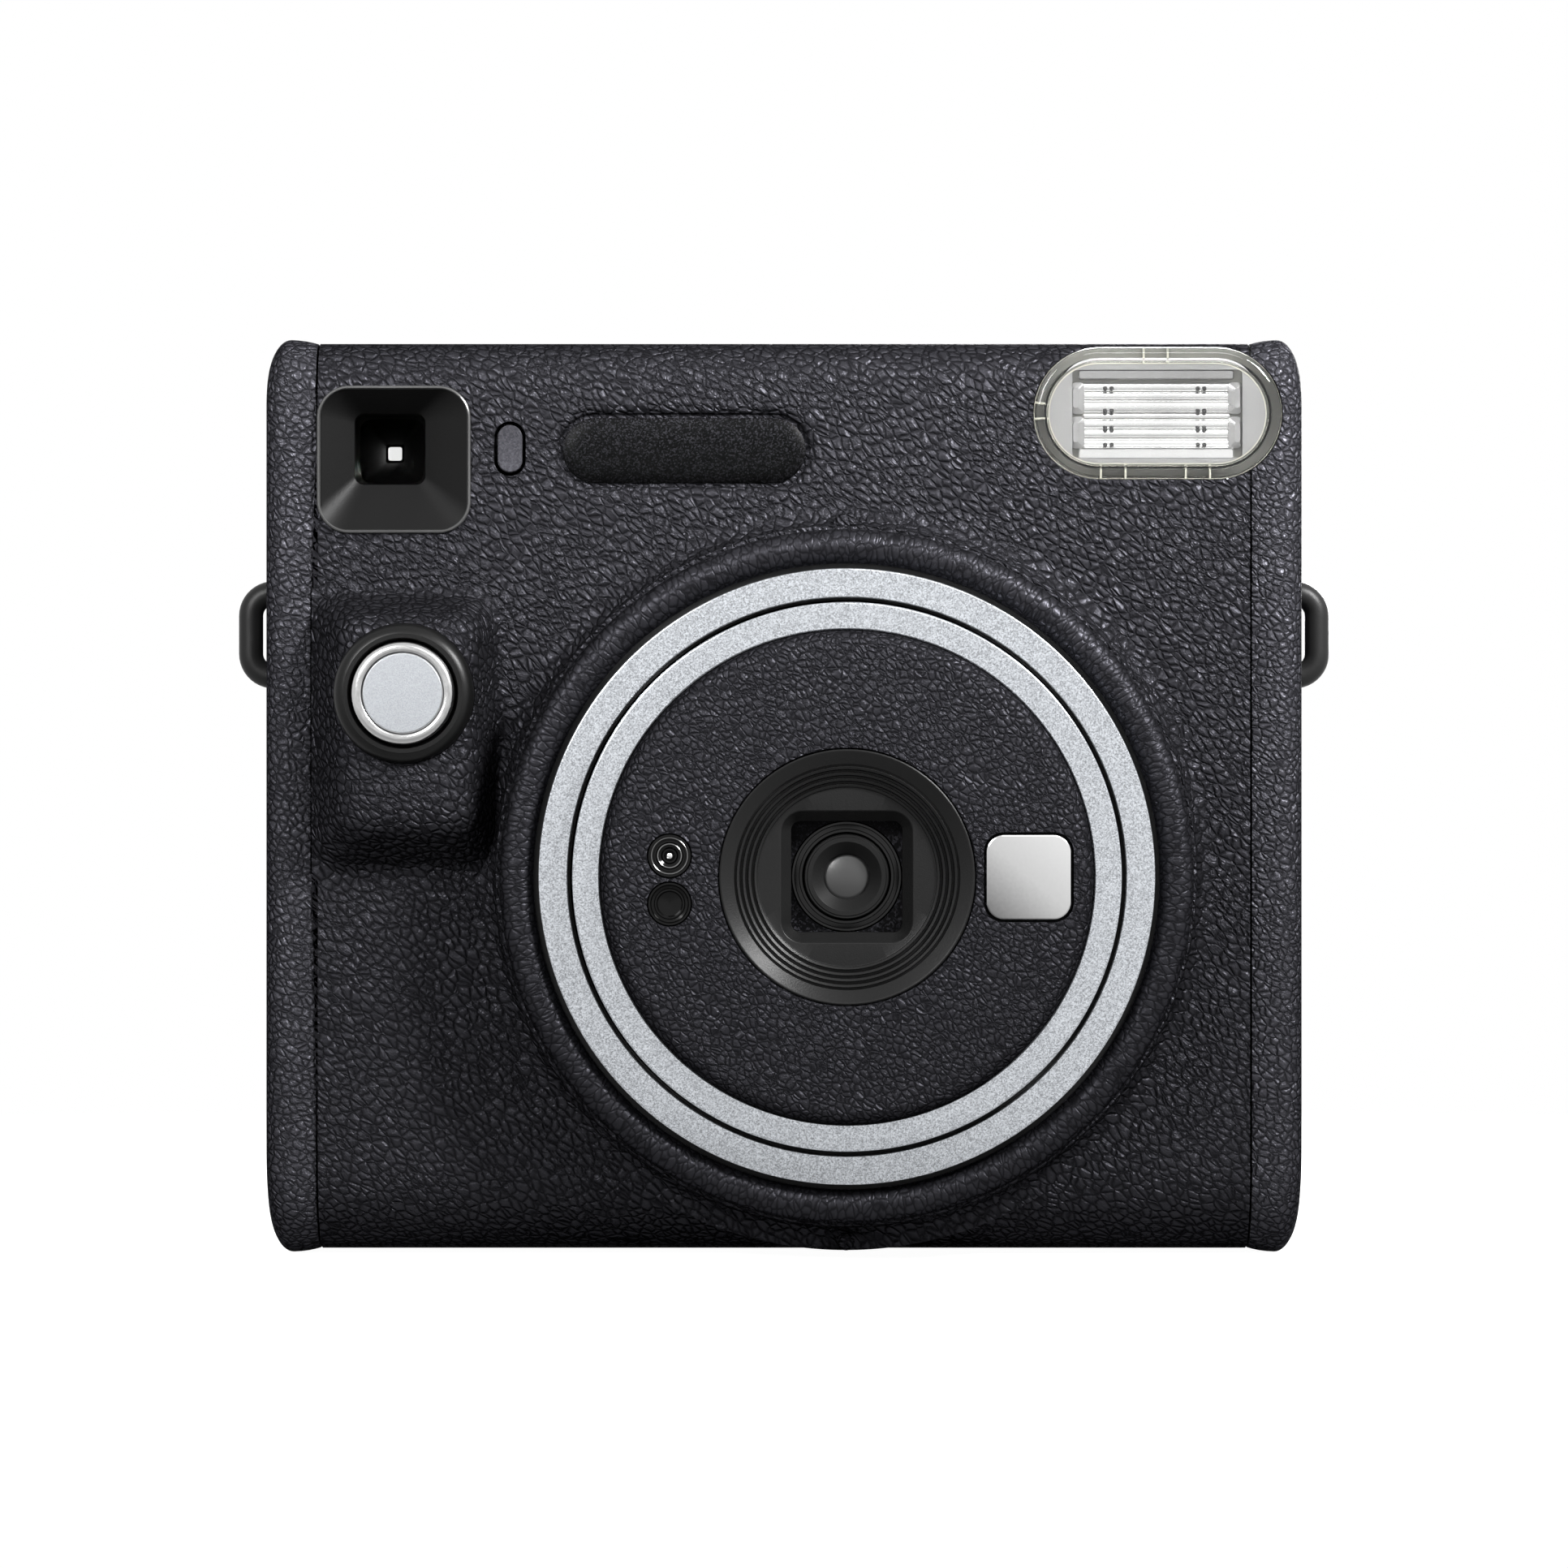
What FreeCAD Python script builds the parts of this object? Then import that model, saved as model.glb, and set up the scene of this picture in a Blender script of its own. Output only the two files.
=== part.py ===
import FreeCAD, Part
import math
import os

# An instant camera that ejects film through a slot in its top. Millimetres, +Z up, the lens looks along -Y.
# The origin is on the surface it stands on, under the middle of its width and depth.

# ---- case ----
body_width = 134.1          # over the two side covers
body_height = 118.8
front_y = -12.7             # front face of the front cover
rear_y = 28.5               # back face of the rear cover
parting_y = 11.0            # where the front and rear covers meet
wall = 2.0
seam_gap = 0.2
side_cover_width = 6.75
cover_inset = 0.5           # the side covers stand this much proud of the main covers
front_top_round = 6.0
front_bottom_round = 11.0
rear_round = 7.0
side_edge_round = 3.0
lip_length = 1.3            # tongue of a side cover inside the main covers
lip_thickness = 1.5
lip_base = 1.2              # thick end of a side cover that carries its tongue
fit_gap = 0.1               # between fixed pieces let into each other
move_gap = 0.3              # between pieces that move past each other
run_gap = 0.05              # radial clearance of a shaft in its bore

# ---- lens and mode ring ----
lens_x = 8.0
lens_z = 49.3
collar_height = 2.5
collar_reach = 0.8          # collar beyond the mode ring
flare_reach = 3.1           # foot of the collar beyond the collar
pip_r = 1.6
ring_width = 4.4
ring_depth = 9.0
ring_edge_round = 2.1
ring_angle = 60.0           # turn of the mode ring that extends the lens
ring_trim_gap = 0.7         # between the trim ring and the leather ring
ring_trim_width = 3.8
ring_trim_depth = 3.2
ring_trim_stand = 0.7       # ahead of the leather ring
sleeve_wall = 3.5
sleeve_length = 17.0
bayonet_reach = 1.4
bayonet_thickness = 1.0
bayonet_angle = 40.0
bayonet_back = 2.1          # behind the front cover's inner face
barrel_gap = 0.6            # between the barrel and the ring's trim
barrel_wall = 1.6
barrel_length = 21.8
barrel_plate = 1.5
barrel_travel = 8.0
face_stand = 5.8            # barrel face ahead of the leather ring
face_r = 31.3
face_depth = 3.5
face_edge_round = 1.8
barrel_trim_width = 3.5
barrel_trim_depth = 1.2
guide_wall = 2.0
guide_front_gap = 0.4
guide_rear_y = 3.0
guide_flange_reach = 1.8    # beyond the ring's sleeve
guide_flange = 2.0
guide_post_r = 2.5
guide_post_inset = 3.0      # from the flange's rim to the middle of a post
cam_pin_r = 1.2
cam_pin_back = 2.5          # from the back of the barrel to the pins at rest
cam_floor = 1.3             # ring sleeve left outside the cam groove

# ---- lens block in the barrel ----
lens_bezel_r = 16.2
cone_r = 14.4
cone_depth = 1.9
step_count = 4
step_width = 0.6
step_depth = 0.5
well_size = 14.3
well_round = 1.0
well_chamfer = 1.55
bezel_flange_r = 18.5
bezel_flange = 1.5
bezel_tube_r = 13.0
bezel_tube_length = 4.3
housing_r = 15.0
housing_depth = 4.0
housing_wall = 1.1
rear_seat_length = 3.5
rear_seat_wall = 1.4
aperture_r = 3.3
cell_nose_r = 5.4
cell_nose_depth = 2.8
cell_flange_r = 7.0
cell_flange = 2.0
cell_cone_r = 4.3
cell_cone_depth = 1.5
front_lens_r = 4.2
rear_lens_r = 5.2
lens_thickness = 2.4
lens_curve_r = 10.0
blade_pivot_reach = 9.5
blade_tip_r = 4.4
blade_thickness = 0.8
blade_pin_r = 0.8
sensor_r = 2.8
sensor_x = -22.5            # from the lens axis
upper_sensor_z = 2.7
lower_sensor_z = -3.4
mirror_x = 23.0
mirror_size = 10.9
mirror_round = 2.3
mirror_depth = 2.0

# ---- grip and shutter button ----
grip_x = -49.0
grip_drop = 50.9            # below the top of the case
grip_width = 24.4
grip_height = 35.6
grip_round = 4.7
grip_top_width = 15.9
grip_top_height = 26.2
grip_top_x = -48.15
grip_top_rise = 1.0         # flat of the grip above its middle
grip_top_round = 3.0
grip_stand = 8.0
grip_notch = 0.6            # depth of the side cover's notch behind the grip's foot
button_x = -48.7
button_rise = 4.8           # above the middle of the grip
button_r = 6.6
button_depth = 5.6
button_stand = 2.9          # button face ahead of the grip's flat
button_travel = 1.5
button_disc_r = 5.2
button_groove = 0.25
bezel_ring_r = 9.0
bezel_ring_stand = 1.9
bezel_ring_depth = 3.9
bezel_sleeve_r = 7.6
bezel_sleeve_length = 10.4
bezel_floor = 1.2
stem_r = 1.5
stem_length = 2.4
spring_r = 5.5
spring_wire_r = 0.35
spring_turns = 4
switch_size = 5.0
switch_depth = 2.7

# ---- viewfinder, light sensor, badge ----
finder_x = -50.4
finder_drop = 15.8          # below the top of the case
finder_width = 19.9
finder_height = 19.1
finder_round = 4.2
finder_stand = 0.5
finder_depth = 4.2
finder_flange = 2.3
finder_rim = 1.1
eye_x = -51.1               # centre of the finder's opening
eye_rise = 1.5
eye_size = 9.2
eye_round = 1.2
tube_wall = 1.5
finder_lens_depth = 1.2
finder_lens_back = 2.5
eyepiece_width = 14.0
eyepiece_height = 14.0
eyepiece_stand = 1.3
light_x = -35.4
light_rise = 1.4            # above the middle of the finder
light_width = 3.65
light_height = 6.6
light_stand = 0.2
light_depth = 3.0
badge_x = -12.9
badge_rise = 1.2            # above the middle of the finder
badge_length = 31.4
badge_height = 8.4
badge_thickness = 0.7
badge_recess = 1.0
badge_recess_margin = 0.6

# ---- flash ----
flash_x = 48.3
flash_drop = 9.8            # below the top of the case
flash_length = 32.1
flash_height = 17.0
flash_stand = 0.6
flash_depth = 7.3
flash_skin = 1.2
reflector_length = 22.4
reflector_height = 11.8
reflector_depth = 6.4
reflector_back_height = 6.0
reflector_wall = 0.6
reflector_gap = 0.5
flash_tube_r = 1.6
flash_tube_depth = 3.2      # behind the mouth of the reflector
tube_cap = 1.5

# ---- film chassis and drive ----
chamber_width = 82.0
chamber_bottom = 8.0
chamber_drop = 6.2          # below the axes of the rollers
chassis_gap = 0.5           # parting line to the chassis front plate
chassis_plate = 2.0
chassis_wall = 1.5
image_size = 62.0
cone_wall = 1.5
cone_focus_y = -12.0        # where the sides of the light cone would meet
cone_front_y = -3.5
roller_drop = 14.8          # below the top of the case
roller_r = 3.85
roller_length = 76.0
film_gap = 0.3
roller_cover = 0.65         # chassis above the rollers
shaft_r = 1.5
slot_width = 3.0
gear_module = 0.4
roller_teeth = 20
idler_teeth = 40
pinion_teeth = 12
gear_width = 3.0
gear_offset = 0.7           # gears stand off the chassis wall
motor_y = 3.0
motor_drop = 8.5            # below the axes of the rollers
motor_r = 6.0
motor_length = 22.0
motor_shaft_r = 1.0
claw_width = 7.0
claw_thickness = 1.2
claw_bottom = 12.0
claw_top = 60.0
claw_travel = 6.0
claw_y = 18.5
claw_pin_r = 1.0
claw_pin_spacing = 20.0
claw_pin_rise = 2.0         # of the pins' middle above the claw's

# ---- film door ----
door_x0 = -38.5
door_x1 = 55.5
door_z0 = 5.0
door_drop = 14.8            # below the top of the case
door_thickness = 1.5
door_round = 3.0
door_rim = 1.8
door_rim_wall = 1.5
door_hinge_reach = 2.5
door_knuckle_r = 1.5
door_knuckle_length = 18.0
door_knuckle_inset = 15.0
door_pin_r = 0.7
pack_spring_x = 24.0        # each side of the lens axis
pack_spring_width = 8.0
pack_spring_foot = 1.6
pack_spring_length = 50.0
pack_spring_rise = 2.6
pack_spring_thickness = 0.4
pack_window_width = 10.0
pack_window_height = 20.0
seal_width = 1.6
seal_depth = 0.9
latch_width = 2.8
latch_length = 14.0
latch_x = 57.3
latch_z = 54.0
latch_travel = 3.0
latch_tooth = 1.6
latch_tooth_width = 3.0
latch_shank_width = 1.2
latch_shank_length = 6.0
latch_keeper_length = 8.0
latch_keeper = 1.4
latch_thickness = 1.3
latch_ridge_pitch = 2.0
latch_ridge_width = 0.8
latch_ridge = 0.15

# ---- battery compartment ----
battery_r = 7.75
battery_length = 27.0
battery_x = -56.0
battery_y = 0.0
battery_z = 15.0
battery_spacing = 0.3
battery_gap = 0.2
contact_room_low = 1.5
contact_room_high = 2.3
holder_wall = 0.9
battery_door_z1 = 44.3
battery_hinge_z = 12.2
battery_pin_r = 0.5
groove_count = 3            # grip grooves of the battery door
groove_length = 9.7
groove_width = 0.8
groove_depth = 0.4
groove_pitch = 2.0
groove_drop = 5.0

# ---- strap lugs, frame counter, electronics, screws ----
lug_drop = 38.0             # below the top of the case
lug_y = 8.0
lug_height = 14.2
lug_reach = 4.95            # beyond the side cover
lug_bar_r = 1.6
lug_bend_r = 3.0
counter_x = 40.0
counter_drop = 11.3         # below the top of the case
counter_r = 5.2
counter_thickness = 1.2
counter_window_size = 3.4
board_width = 13.0
board_bottom = 14.0
board_top = 74.0
board_thickness = 1.6
capacitor_x = 57.6
capacitor_r = 6.5
capacitor_bottom = 30.0
capacitor_length = 40.0
screw_x = 55.3
screw_low_z = 8.0
screw_left_drop = 28.8      # below the top of the case
screw_right_drop = 39.8
post_r = 2.6
screw_r = 1.1
screw_head_r = 2.0
screw_head = 1.0

# ---- places that follow from the sizes above ----
CAM_ANGLES = (0, 120, 240)
BAYONET_ANGLES = (30, 150, 270)
SPRING_ARCS = 4
half_width = body_width / 2
seam_x = half_width - side_cover_width
cover_end = seam_x - seam_gap / 2
side_start = seam_x + seam_gap / 2
cover_bottom = cover_inset
cover_top = body_height - cover_inset
inner_front_y = front_y + wall
grip_z = body_height - grip_drop
grip_top_z = grip_z + grip_top_rise
button_z = grip_z + button_rise
finder_z = body_height - finder_drop
eye_z = finder_z + eye_rise
light_z = finder_z + light_rise
badge_z = finder_z + badge_rise
flash_z = body_height - flash_drop
roller_z = body_height - roller_drop
chamber_top = roller_z - chamber_drop
motor_z = roller_z - motor_drop
door_z1 = body_height - door_drop
lug_z = body_height - lug_drop
counter_z = body_height - counter_drop
screw_left_z = body_height - screw_left_drop
screw_right_z = body_height - screw_right_drop
barrel_r = face_r + fit_gap + barrel_trim_width
ring_trim_r = barrel_r + barrel_gap + ring_trim_width
ring_r = ring_trim_r + ring_trim_gap + ring_width
collar_r = ring_r + collar_reach
flare_r = collar_r + flare_reach
inner_rear_y = rear_y - wall
collar_y = front_y - collar_height
ring_back_y = collar_y - move_gap
ring_front_y = ring_back_y - ring_depth
ring_trim_front_y = ring_front_y - ring_trim_stand
ring_trim_back_y = ring_trim_front_y + ring_trim_depth
slide_gap = move_gap + fit_gap
guide_inner_r = barrel_r + slide_gap
guide_outer_r = guide_inner_r + guide_wall
sleeve_inner_r = guide_outer_r + slide_gap
sleeve_r = sleeve_inner_r + sleeve_wall
guide_flange_r = sleeve_r + guide_flange_reach
guide_post_reach = guide_flange_r - guide_post_inset
sleeve_back_y = ring_trim_back_y + sleeve_length
cover_hole_r = sleeve_r + slide_gap
face_y = ring_front_y - face_stand
face_back_y = face_y + face_depth
barrel_back_y = face_back_y + barrel_length
plate_back_y = face_back_y + barrel_plate
cam_pin_y = barrel_back_y - cam_pin_back
cam_pin_tip_r = sleeve_r - cam_floor - move_gap
guide_front_y = ring_trim_back_y + guide_front_gap
bezel_back_y = plate_back_y + bezel_flange
housing_front_y = bezel_back_y + bezel_tube_length
housing_back_y = housing_front_y + housing_depth
grip_top_y = front_y - grip_stand
button_face_y = grip_top_y - button_stand
button_back_y = button_face_y + button_depth
bezel_ring_back_y = grip_top_y - bezel_ring_stand + bezel_ring_depth
bezel_sleeve_back_y = bezel_ring_back_y + bezel_sleeve_length
bezel_floor_y = bezel_sleeve_back_y - bezel_floor
chassis_y = parting_y + chassis_gap
film_y = chassis_y + chassis_plate
chamber_x0 = lens_x - chamber_width / 2
chamber_x1 = lens_x + chamber_width / 2
chassis_x0 = chamber_x0 - chassis_wall
chassis_x1 = chamber_x1 + chassis_wall
nip_y = film_y + slot_width / 2
drive_roller_y = nip_y - roller_r - film_gap / 2
driven_roller_y = nip_y + roller_r + film_gap / 2
chassis_top = roller_z + roller_r + roller_cover
gear_x = chassis_x1 + gear_offset
door_in_y = rear_y + move_gap
door_out_y = door_in_y + door_thickness
hinge_x = door_x0 - door_hinge_reach
hinge_y = door_in_y
battery_pitch = 2 * battery_r + battery_spacing
holder_y0 = battery_y - battery_r - battery_gap
holder_y1 = battery_y + battery_pitch + battery_r + battery_gap
holder_z0 = battery_z - contact_room_low
holder_z1 = battery_z + battery_length + contact_room_high
pocket_x = -half_width + wall
battery_hinge_x = -half_width + wall / 2


def box(x0, x1, y0, y1, z0, z1):
    return Part.makeBox(x1 - x0, y1 - y0, z1 - z0, FreeCAD.Vector(x0, y0, z0))


def rod_x(y, z, r, x0, x1):
    return Part.makeCylinder(r, x1 - x0, FreeCAD.Vector(x0, y, z), FreeCAD.Vector(1, 0, 0))


def rod_y(x, z, r, y0, y1):
    return Part.makeCylinder(r, y1 - y0, FreeCAD.Vector(x, y0, z), FreeCAD.Vector(0, 1, 0))


def rod_z(x, y, r, z0, z1):
    return Part.makeCylinder(r, z1 - z0, FreeCAD.Vector(x, y, z0))


def outline(corners, place):
    """A closed wire through (u, v, radius) corners, rounded by arcs; place turns (u, v) into a point."""
    arcs = []
    for i, (u, v, r) in enumerate(corners):
        corner = FreeCAD.Vector(u, v, 0)
        before = (FreeCAD.Vector(*corners[i - 1][:2], 0) - corner).normalize()
        after = (FreeCAD.Vector(*corners[(i + 1) % len(corners)][:2], 0) - corner).normalize()
        half = before.getAngle(after) / 2
        if r == 0:
            arcs.append([corner])
            continue
        middle = (before + after).normalize()
        reach = r / math.tan(half)
        arcs.append([corner + before * reach, corner + middle * (r / math.sin(half) - r),
                     corner + after * reach])
    edges = []
    for i, arc in enumerate(arcs):
        points = [place(p.x, p.y) for p in arc]
        start = place(arcs[i - 1][-1].x, arcs[i - 1][-1].y)
        if (points[0] - start).Length > 1e-6:
            edges.append(Part.makeLine(start, points[0]))
        if len(points) == 3:
            edges.append(Part.Arc(*points).toShape())
    return Part.Wire(edges)


def rounded_wire(x, z, width, height, r, y):
    """A rounded rectangle facing -Y."""
    w, h = width / 2, height / 2
    corners = [(x - w, z - h, r), (x + w, z - h, r), (x + w, z + h, r), (x - w, z + h, r)]
    return outline(corners, lambda u, v: FreeCAD.Vector(u, y, v))


def plate(x, z, width, height, r, y0, y1):
    return Part.Face(rounded_wire(x, z, width, height, r, y0)).extrude(FreeCAD.Vector(0, y1 - y0, 0))


def lathe(corners, x=lens_x, z=lens_z):
    """Turns (radius, y, rounding) corners about the line through (x, z) along Y."""
    wire = outline(corners, lambda u, v: FreeCAD.Vector(x + u, v, z))
    return Part.Face(wire).revolve(FreeCAD.Vector(x, 0, z), FreeCAD.Vector(0, 1, 0), 360)


def tube(r0, r1, y0, y1, x=lens_x, z=lens_z):
    return rod_y(x, z, r1, y0, y1).cut(rod_y(x, z, r0, y0 - 1, y1 + 1))


def loft(first, last):
    return Part.makeLoft([first, last], True, True)


def fuse(shapes):
    whole = shapes[0].multiFuse(shapes[1:]) if len(shapes) > 1 else shapes[0]
    return whole.removeSplitter()


def turned(shape, degrees, x=lens_x, z=lens_z):
    copy = shape.copy()
    copy.rotate(FreeCAD.Vector(x, 0, z), FreeCAD.Vector(0, 1, 0), degrees)
    return copy


# ---- case ----

def case_section(inset, x0, x1, z_grow=0.0):
    """The case's rounded side view, drawn in by inset, from x0 to x1; z_grow widens it all round."""
    y0, y1 = front_y + inset - z_grow * 0.4, rear_y - inset + z_grow * 0.4
    z0, z1 = cover_bottom + inset - z_grow, cover_top - inset + z_grow
    corners = [
        (y0, z0, front_bottom_round - inset),
        (y1, z0, rear_round - inset),
        (y1, z1, rear_round - inset),
        (y0, z1, front_top_round - inset),
    ]
    wire = outline(corners, lambda u, v: FreeCAD.Vector(x0, u, v))
    return Part.Face(wire).extrude(FreeCAD.Vector(x1 - x0, 0, 0))


def main_tube():
    return case_section(0, -cover_end, cover_end).cut(case_section(wall, -half_width, half_width))


def grip_block(inset):
    """The grip's frustum, drawn in by inset."""
    base = rounded_wire(grip_x, grip_z, grip_width - 2 * inset, grip_height - 2 * inset,
                        grip_round - inset / 2, front_y + wall)
    top = rounded_wire(grip_top_x, grip_top_z, grip_top_width - 2 * inset, grip_top_height - 2 * inset,
                       grip_top_round - inset / 2, grip_top_y + inset)
    return loft(base, top)


def grip_shell():
    boss = rod_y(button_x, button_z, bezel_ring_r + wall, grip_top_y, inner_front_y)
    shell = grip_block(0).cut(grip_block(wall))
    return fuse([shell, boss.common(grip_block(0))])


def button_bore():
    ring = rod_y(button_x, button_z, bezel_ring_r + fit_gap, grip_top_y - wall, bezel_ring_back_y)
    sleeve = rod_y(button_x, button_z, bezel_sleeve_r + fit_gap, grip_top_y - wall, parting_y)
    return fuse([ring, sleeve])


def lens_collar():
    back_y = front_y + 4.0
    corners = [
        (cover_hole_r, collar_y, 0),
        (collar_r, collar_y, 0.6),
        (collar_r, front_y - 0.4, 1.6),
        (flare_r, front_y, 0),
        (flare_r, back_y, 0),
        (cover_hole_r, back_y, 0),
    ]
    pips = [
        rod_y(lens_x, lens_z + collar_r, pip_r, collar_y, front_y),
        rod_y(lens_x, lens_z - flare_r + pip_r - cover_inset, pip_r, collar_y, back_y),
    ]
    ring = lathe(corners)
    hole = rod_y(lens_x, lens_z, cover_hole_r, collar_y - 1, back_y + 1)
    return fuse([ring] + pips).cut(hole).cut(case_section(wall, -half_width, half_width))


def post_places():
    return [
        (-screw_x, screw_low_z),
        (screw_x, screw_low_z),
        (-screw_x, screw_left_z),
        (screw_x, screw_right_z),
    ]


def flash_cut():
    size = 2 * fit_gap
    return plate(flash_x, flash_z, flash_length + size, flash_height + size,
                 flash_height / 2 + fit_gap - 0.01, front_y - 3, front_y - flash_stand + flash_depth + fit_gap)


def front_cover():
    shell = main_tube().common(box(-half_width, half_width, front_y - 1, parting_y, 0, body_height))
    posts = [rod_y(x, z, post_r, front_y + 1, parting_y) for x, z in post_places()]
    shell = fuse([shell, grip_shell(), lens_collar()] + posts)
    button_post = rod_y(button_x, button_z, bezel_ring_r + wall, grip_top_y - 1, inner_front_y)
    shell = shell.cut(grip_block(wall).cut(button_post))
    cuts = [
        rod_y(lens_x, lens_z, cover_hole_r, collar_y - 1, inner_front_y + 5),
        button_bore(),
        plate(finder_x, finder_z, finder_width + 2 * fit_gap, finder_height + 2 * fit_gap,
              finder_round + fit_gap, front_y - 1, inner_front_y + 2),
        plate(light_x, light_z, light_width + 2 * fit_gap, light_height + 2 * fit_gap,
              light_width / 2 + fit_gap - 0.01, front_y - 1, inner_front_y + 1),
        plate(badge_x, badge_z, badge_length + 2 * badge_recess_margin,
              badge_height + 2 * badge_recess_margin,
              badge_height / 2 + badge_recess_margin - 0.01, front_y - 1, front_y + badge_recess),
        flash_cut(),
    ]
    cuts += [rod_y(x, z, screw_r, 0, parting_y + 1) for x, z in post_places()]
    for shape in cuts:
        shell = shell.cut(shape)
    return shell.removeSplitter()


def door_knuckles(r, z_gap=0.0):
    """The door's two knuckles, lengthened by z_gap at each end."""
    low = door_z0 + door_knuckle_inset
    high = door_z1 - door_knuckle_inset - door_knuckle_length
    return [rod_z(hinge_x, hinge_y, r, z - z_gap, z + door_knuckle_length + z_gap) for z in (low, high)]


def chamber_opening(grow, y0, y1):
    return box(chamber_x0 - grow, chamber_x1 + grow, y0, y1, chamber_bottom - grow, chamber_top + grow)


def seal_ring(gap, y0, y1):
    outer = chamber_opening(1 + seal_width + gap, y0, y1)
    return outer.cut(chamber_opening(1 - gap, y0 - 1, y1 + 1))


def latch_slot():
    half = latch_shank_width / 2 + move_gap
    reach = latch_shank_length / 2 + move_gap
    return box(latch_x - half, latch_x + half, inner_rear_y - 1, rear_y + 1,
               latch_z - reach - latch_travel, latch_z + reach)


def counter_hole(gap):
    half = counter_window_size / 2 + gap
    z = counter_z + counter_r - counter_window_size / 2 - 0.4
    return box(counter_x - half, counter_x + half, inner_rear_y - 1, rear_y + 1, z - half, z + half)


def rear_cover():
    shell = main_tube().common(box(-half_width, half_width, parting_y + fit_gap, rear_y + 1, 0,
                                   body_height))
    posts = [rod_y(x, z, post_r, parting_y + fit_gap, rear_y - 1) for x, z in post_places()]
    low = door_z0 + door_knuckle_inset + door_knuckle_length + move_gap
    high = door_z1 - door_knuckle_inset - door_knuckle_length - move_gap
    knuckle = rod_z(hinge_x, hinge_y, door_knuckle_r, low, high)
    arbor = rod_y(counter_x, counter_z, 1.2, inner_rear_y - counter_thickness - 1.6, inner_rear_y + 1)
    shell = fuse([shell, knuckle, arbor] + posts)
    cuts = [
        chamber_opening(0, inner_rear_y - 1, rear_y + 1),
        seal_ring(0.02, rear_y - seal_depth, rear_y + 1),
        box(lens_x - roller_length / 2, lens_x + roller_length / 2, nip_y - slot_width / 2,
            nip_y + slot_width / 2, cover_top - wall - 1, cover_top + 1),
        plate(eye_x, eye_z, eyepiece_width + 2 * fit_gap, eyepiece_height + 2 * fit_gap, 2 + fit_gap,
              inner_rear_y - 1, rear_y + 1),
        rod_z(hinge_x, hinge_y, door_pin_r + 0.02, door_z0, door_z1),
        latch_slot(),
        counter_hole(fit_gap),
    ]
    cuts += door_knuckles(door_knuckle_r + move_gap + 0.1, move_gap)
    for x, z in post_places():
        cuts.append(rod_y(x, z, screw_r, parting_y - 1, rear_y + 1))
        cuts.append(rod_y(x, z, screw_head_r + fit_gap, rear_y - screw_head, rear_y + 1))
    for shape in cuts:
        shell = shell.cut(shape)
    return shell.removeSplitter()


def side_cover(sign):
    """A shallow cap on one end of the case; sign is -1 on the grip side and 1 on the flash side."""
    block = case_section(0, side_start, half_width, cover_inset)
    outer_edges = [e for e in block.Edges if e.BoundBox.XMin > half_width - 0.01]
    block = block.makeFillet(side_edge_round, outer_edges)
    lip = case_section(wall + fit_gap, seam_x - lip_length, side_start + lip_base)
    cap = fuse([block, lip])
    cap = cap.cut(case_section(wall - cover_inset, side_start + lip_base, half_width - wall))
    cap = cap.cut(case_section(wall + fit_gap + lip_thickness, seam_x - lip_length - 1,
                               side_start + lip_base + 1))
    if sign < 0:
        cap = cap.mirror(FreeCAD.Vector(0, 0, 0), FreeCAD.Vector(1, 0, 0))
    for z in lug_leg_heights():
        cap = cap.cut(rod_x(lug_y, z, lug_bar_r + fit_gap,
                            *sorted((sign * seam_x, sign * (half_width + 1)))))
    return cap


def grip_side_cover():
    cap = side_cover(-1)
    cap = cap.cut(plate(grip_x, grip_z, grip_width + 2 * seam_gap, grip_height + 2 * seam_gap, grip_round,
                        front_y - 1, inner_front_y + grip_notch))
    cap = cap.cut(box(-half_width - 1, -seam_x, holder_y0 - move_gap, holder_y1 + move_gap,
                      battery_hinge_z - wall / 2 - move_gap, battery_door_z1 + move_gap))
    pin = rod_y(battery_hinge_x, battery_hinge_z, battery_pin_r + 0.02, holder_y0 - 2, holder_y1 + 2)
    return cap.cut(pin)


def flash_side_cover():
    return side_cover(1).cut(flash_cut())


def case_screws():
    screws = []
    for x, z in post_places():
        head = rod_y(x, z, screw_head_r, rear_y - screw_head, rear_y)
        slot = box(x - 1.3, x + 1.3, rear_y - 0.5, rear_y + 1, z - 0.25, z + 0.25)
        cross = box(x - 0.25, x + 0.25, rear_y - 0.5, rear_y + 1, z - 1.3, z + 1.3)
        shank = rod_y(x, z, screw_r - 0.02, 1, rear_y - screw_head)
        screws.append(fuse([head, shank]).cut(slot).cut(cross))
    return Part.makeCompound(screws)


# ---- strap lugs ----

def lug_leg_heights():
    leg = lug_height / 2 - lug_bar_r
    return lug_z - leg, lug_z + leg


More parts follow.
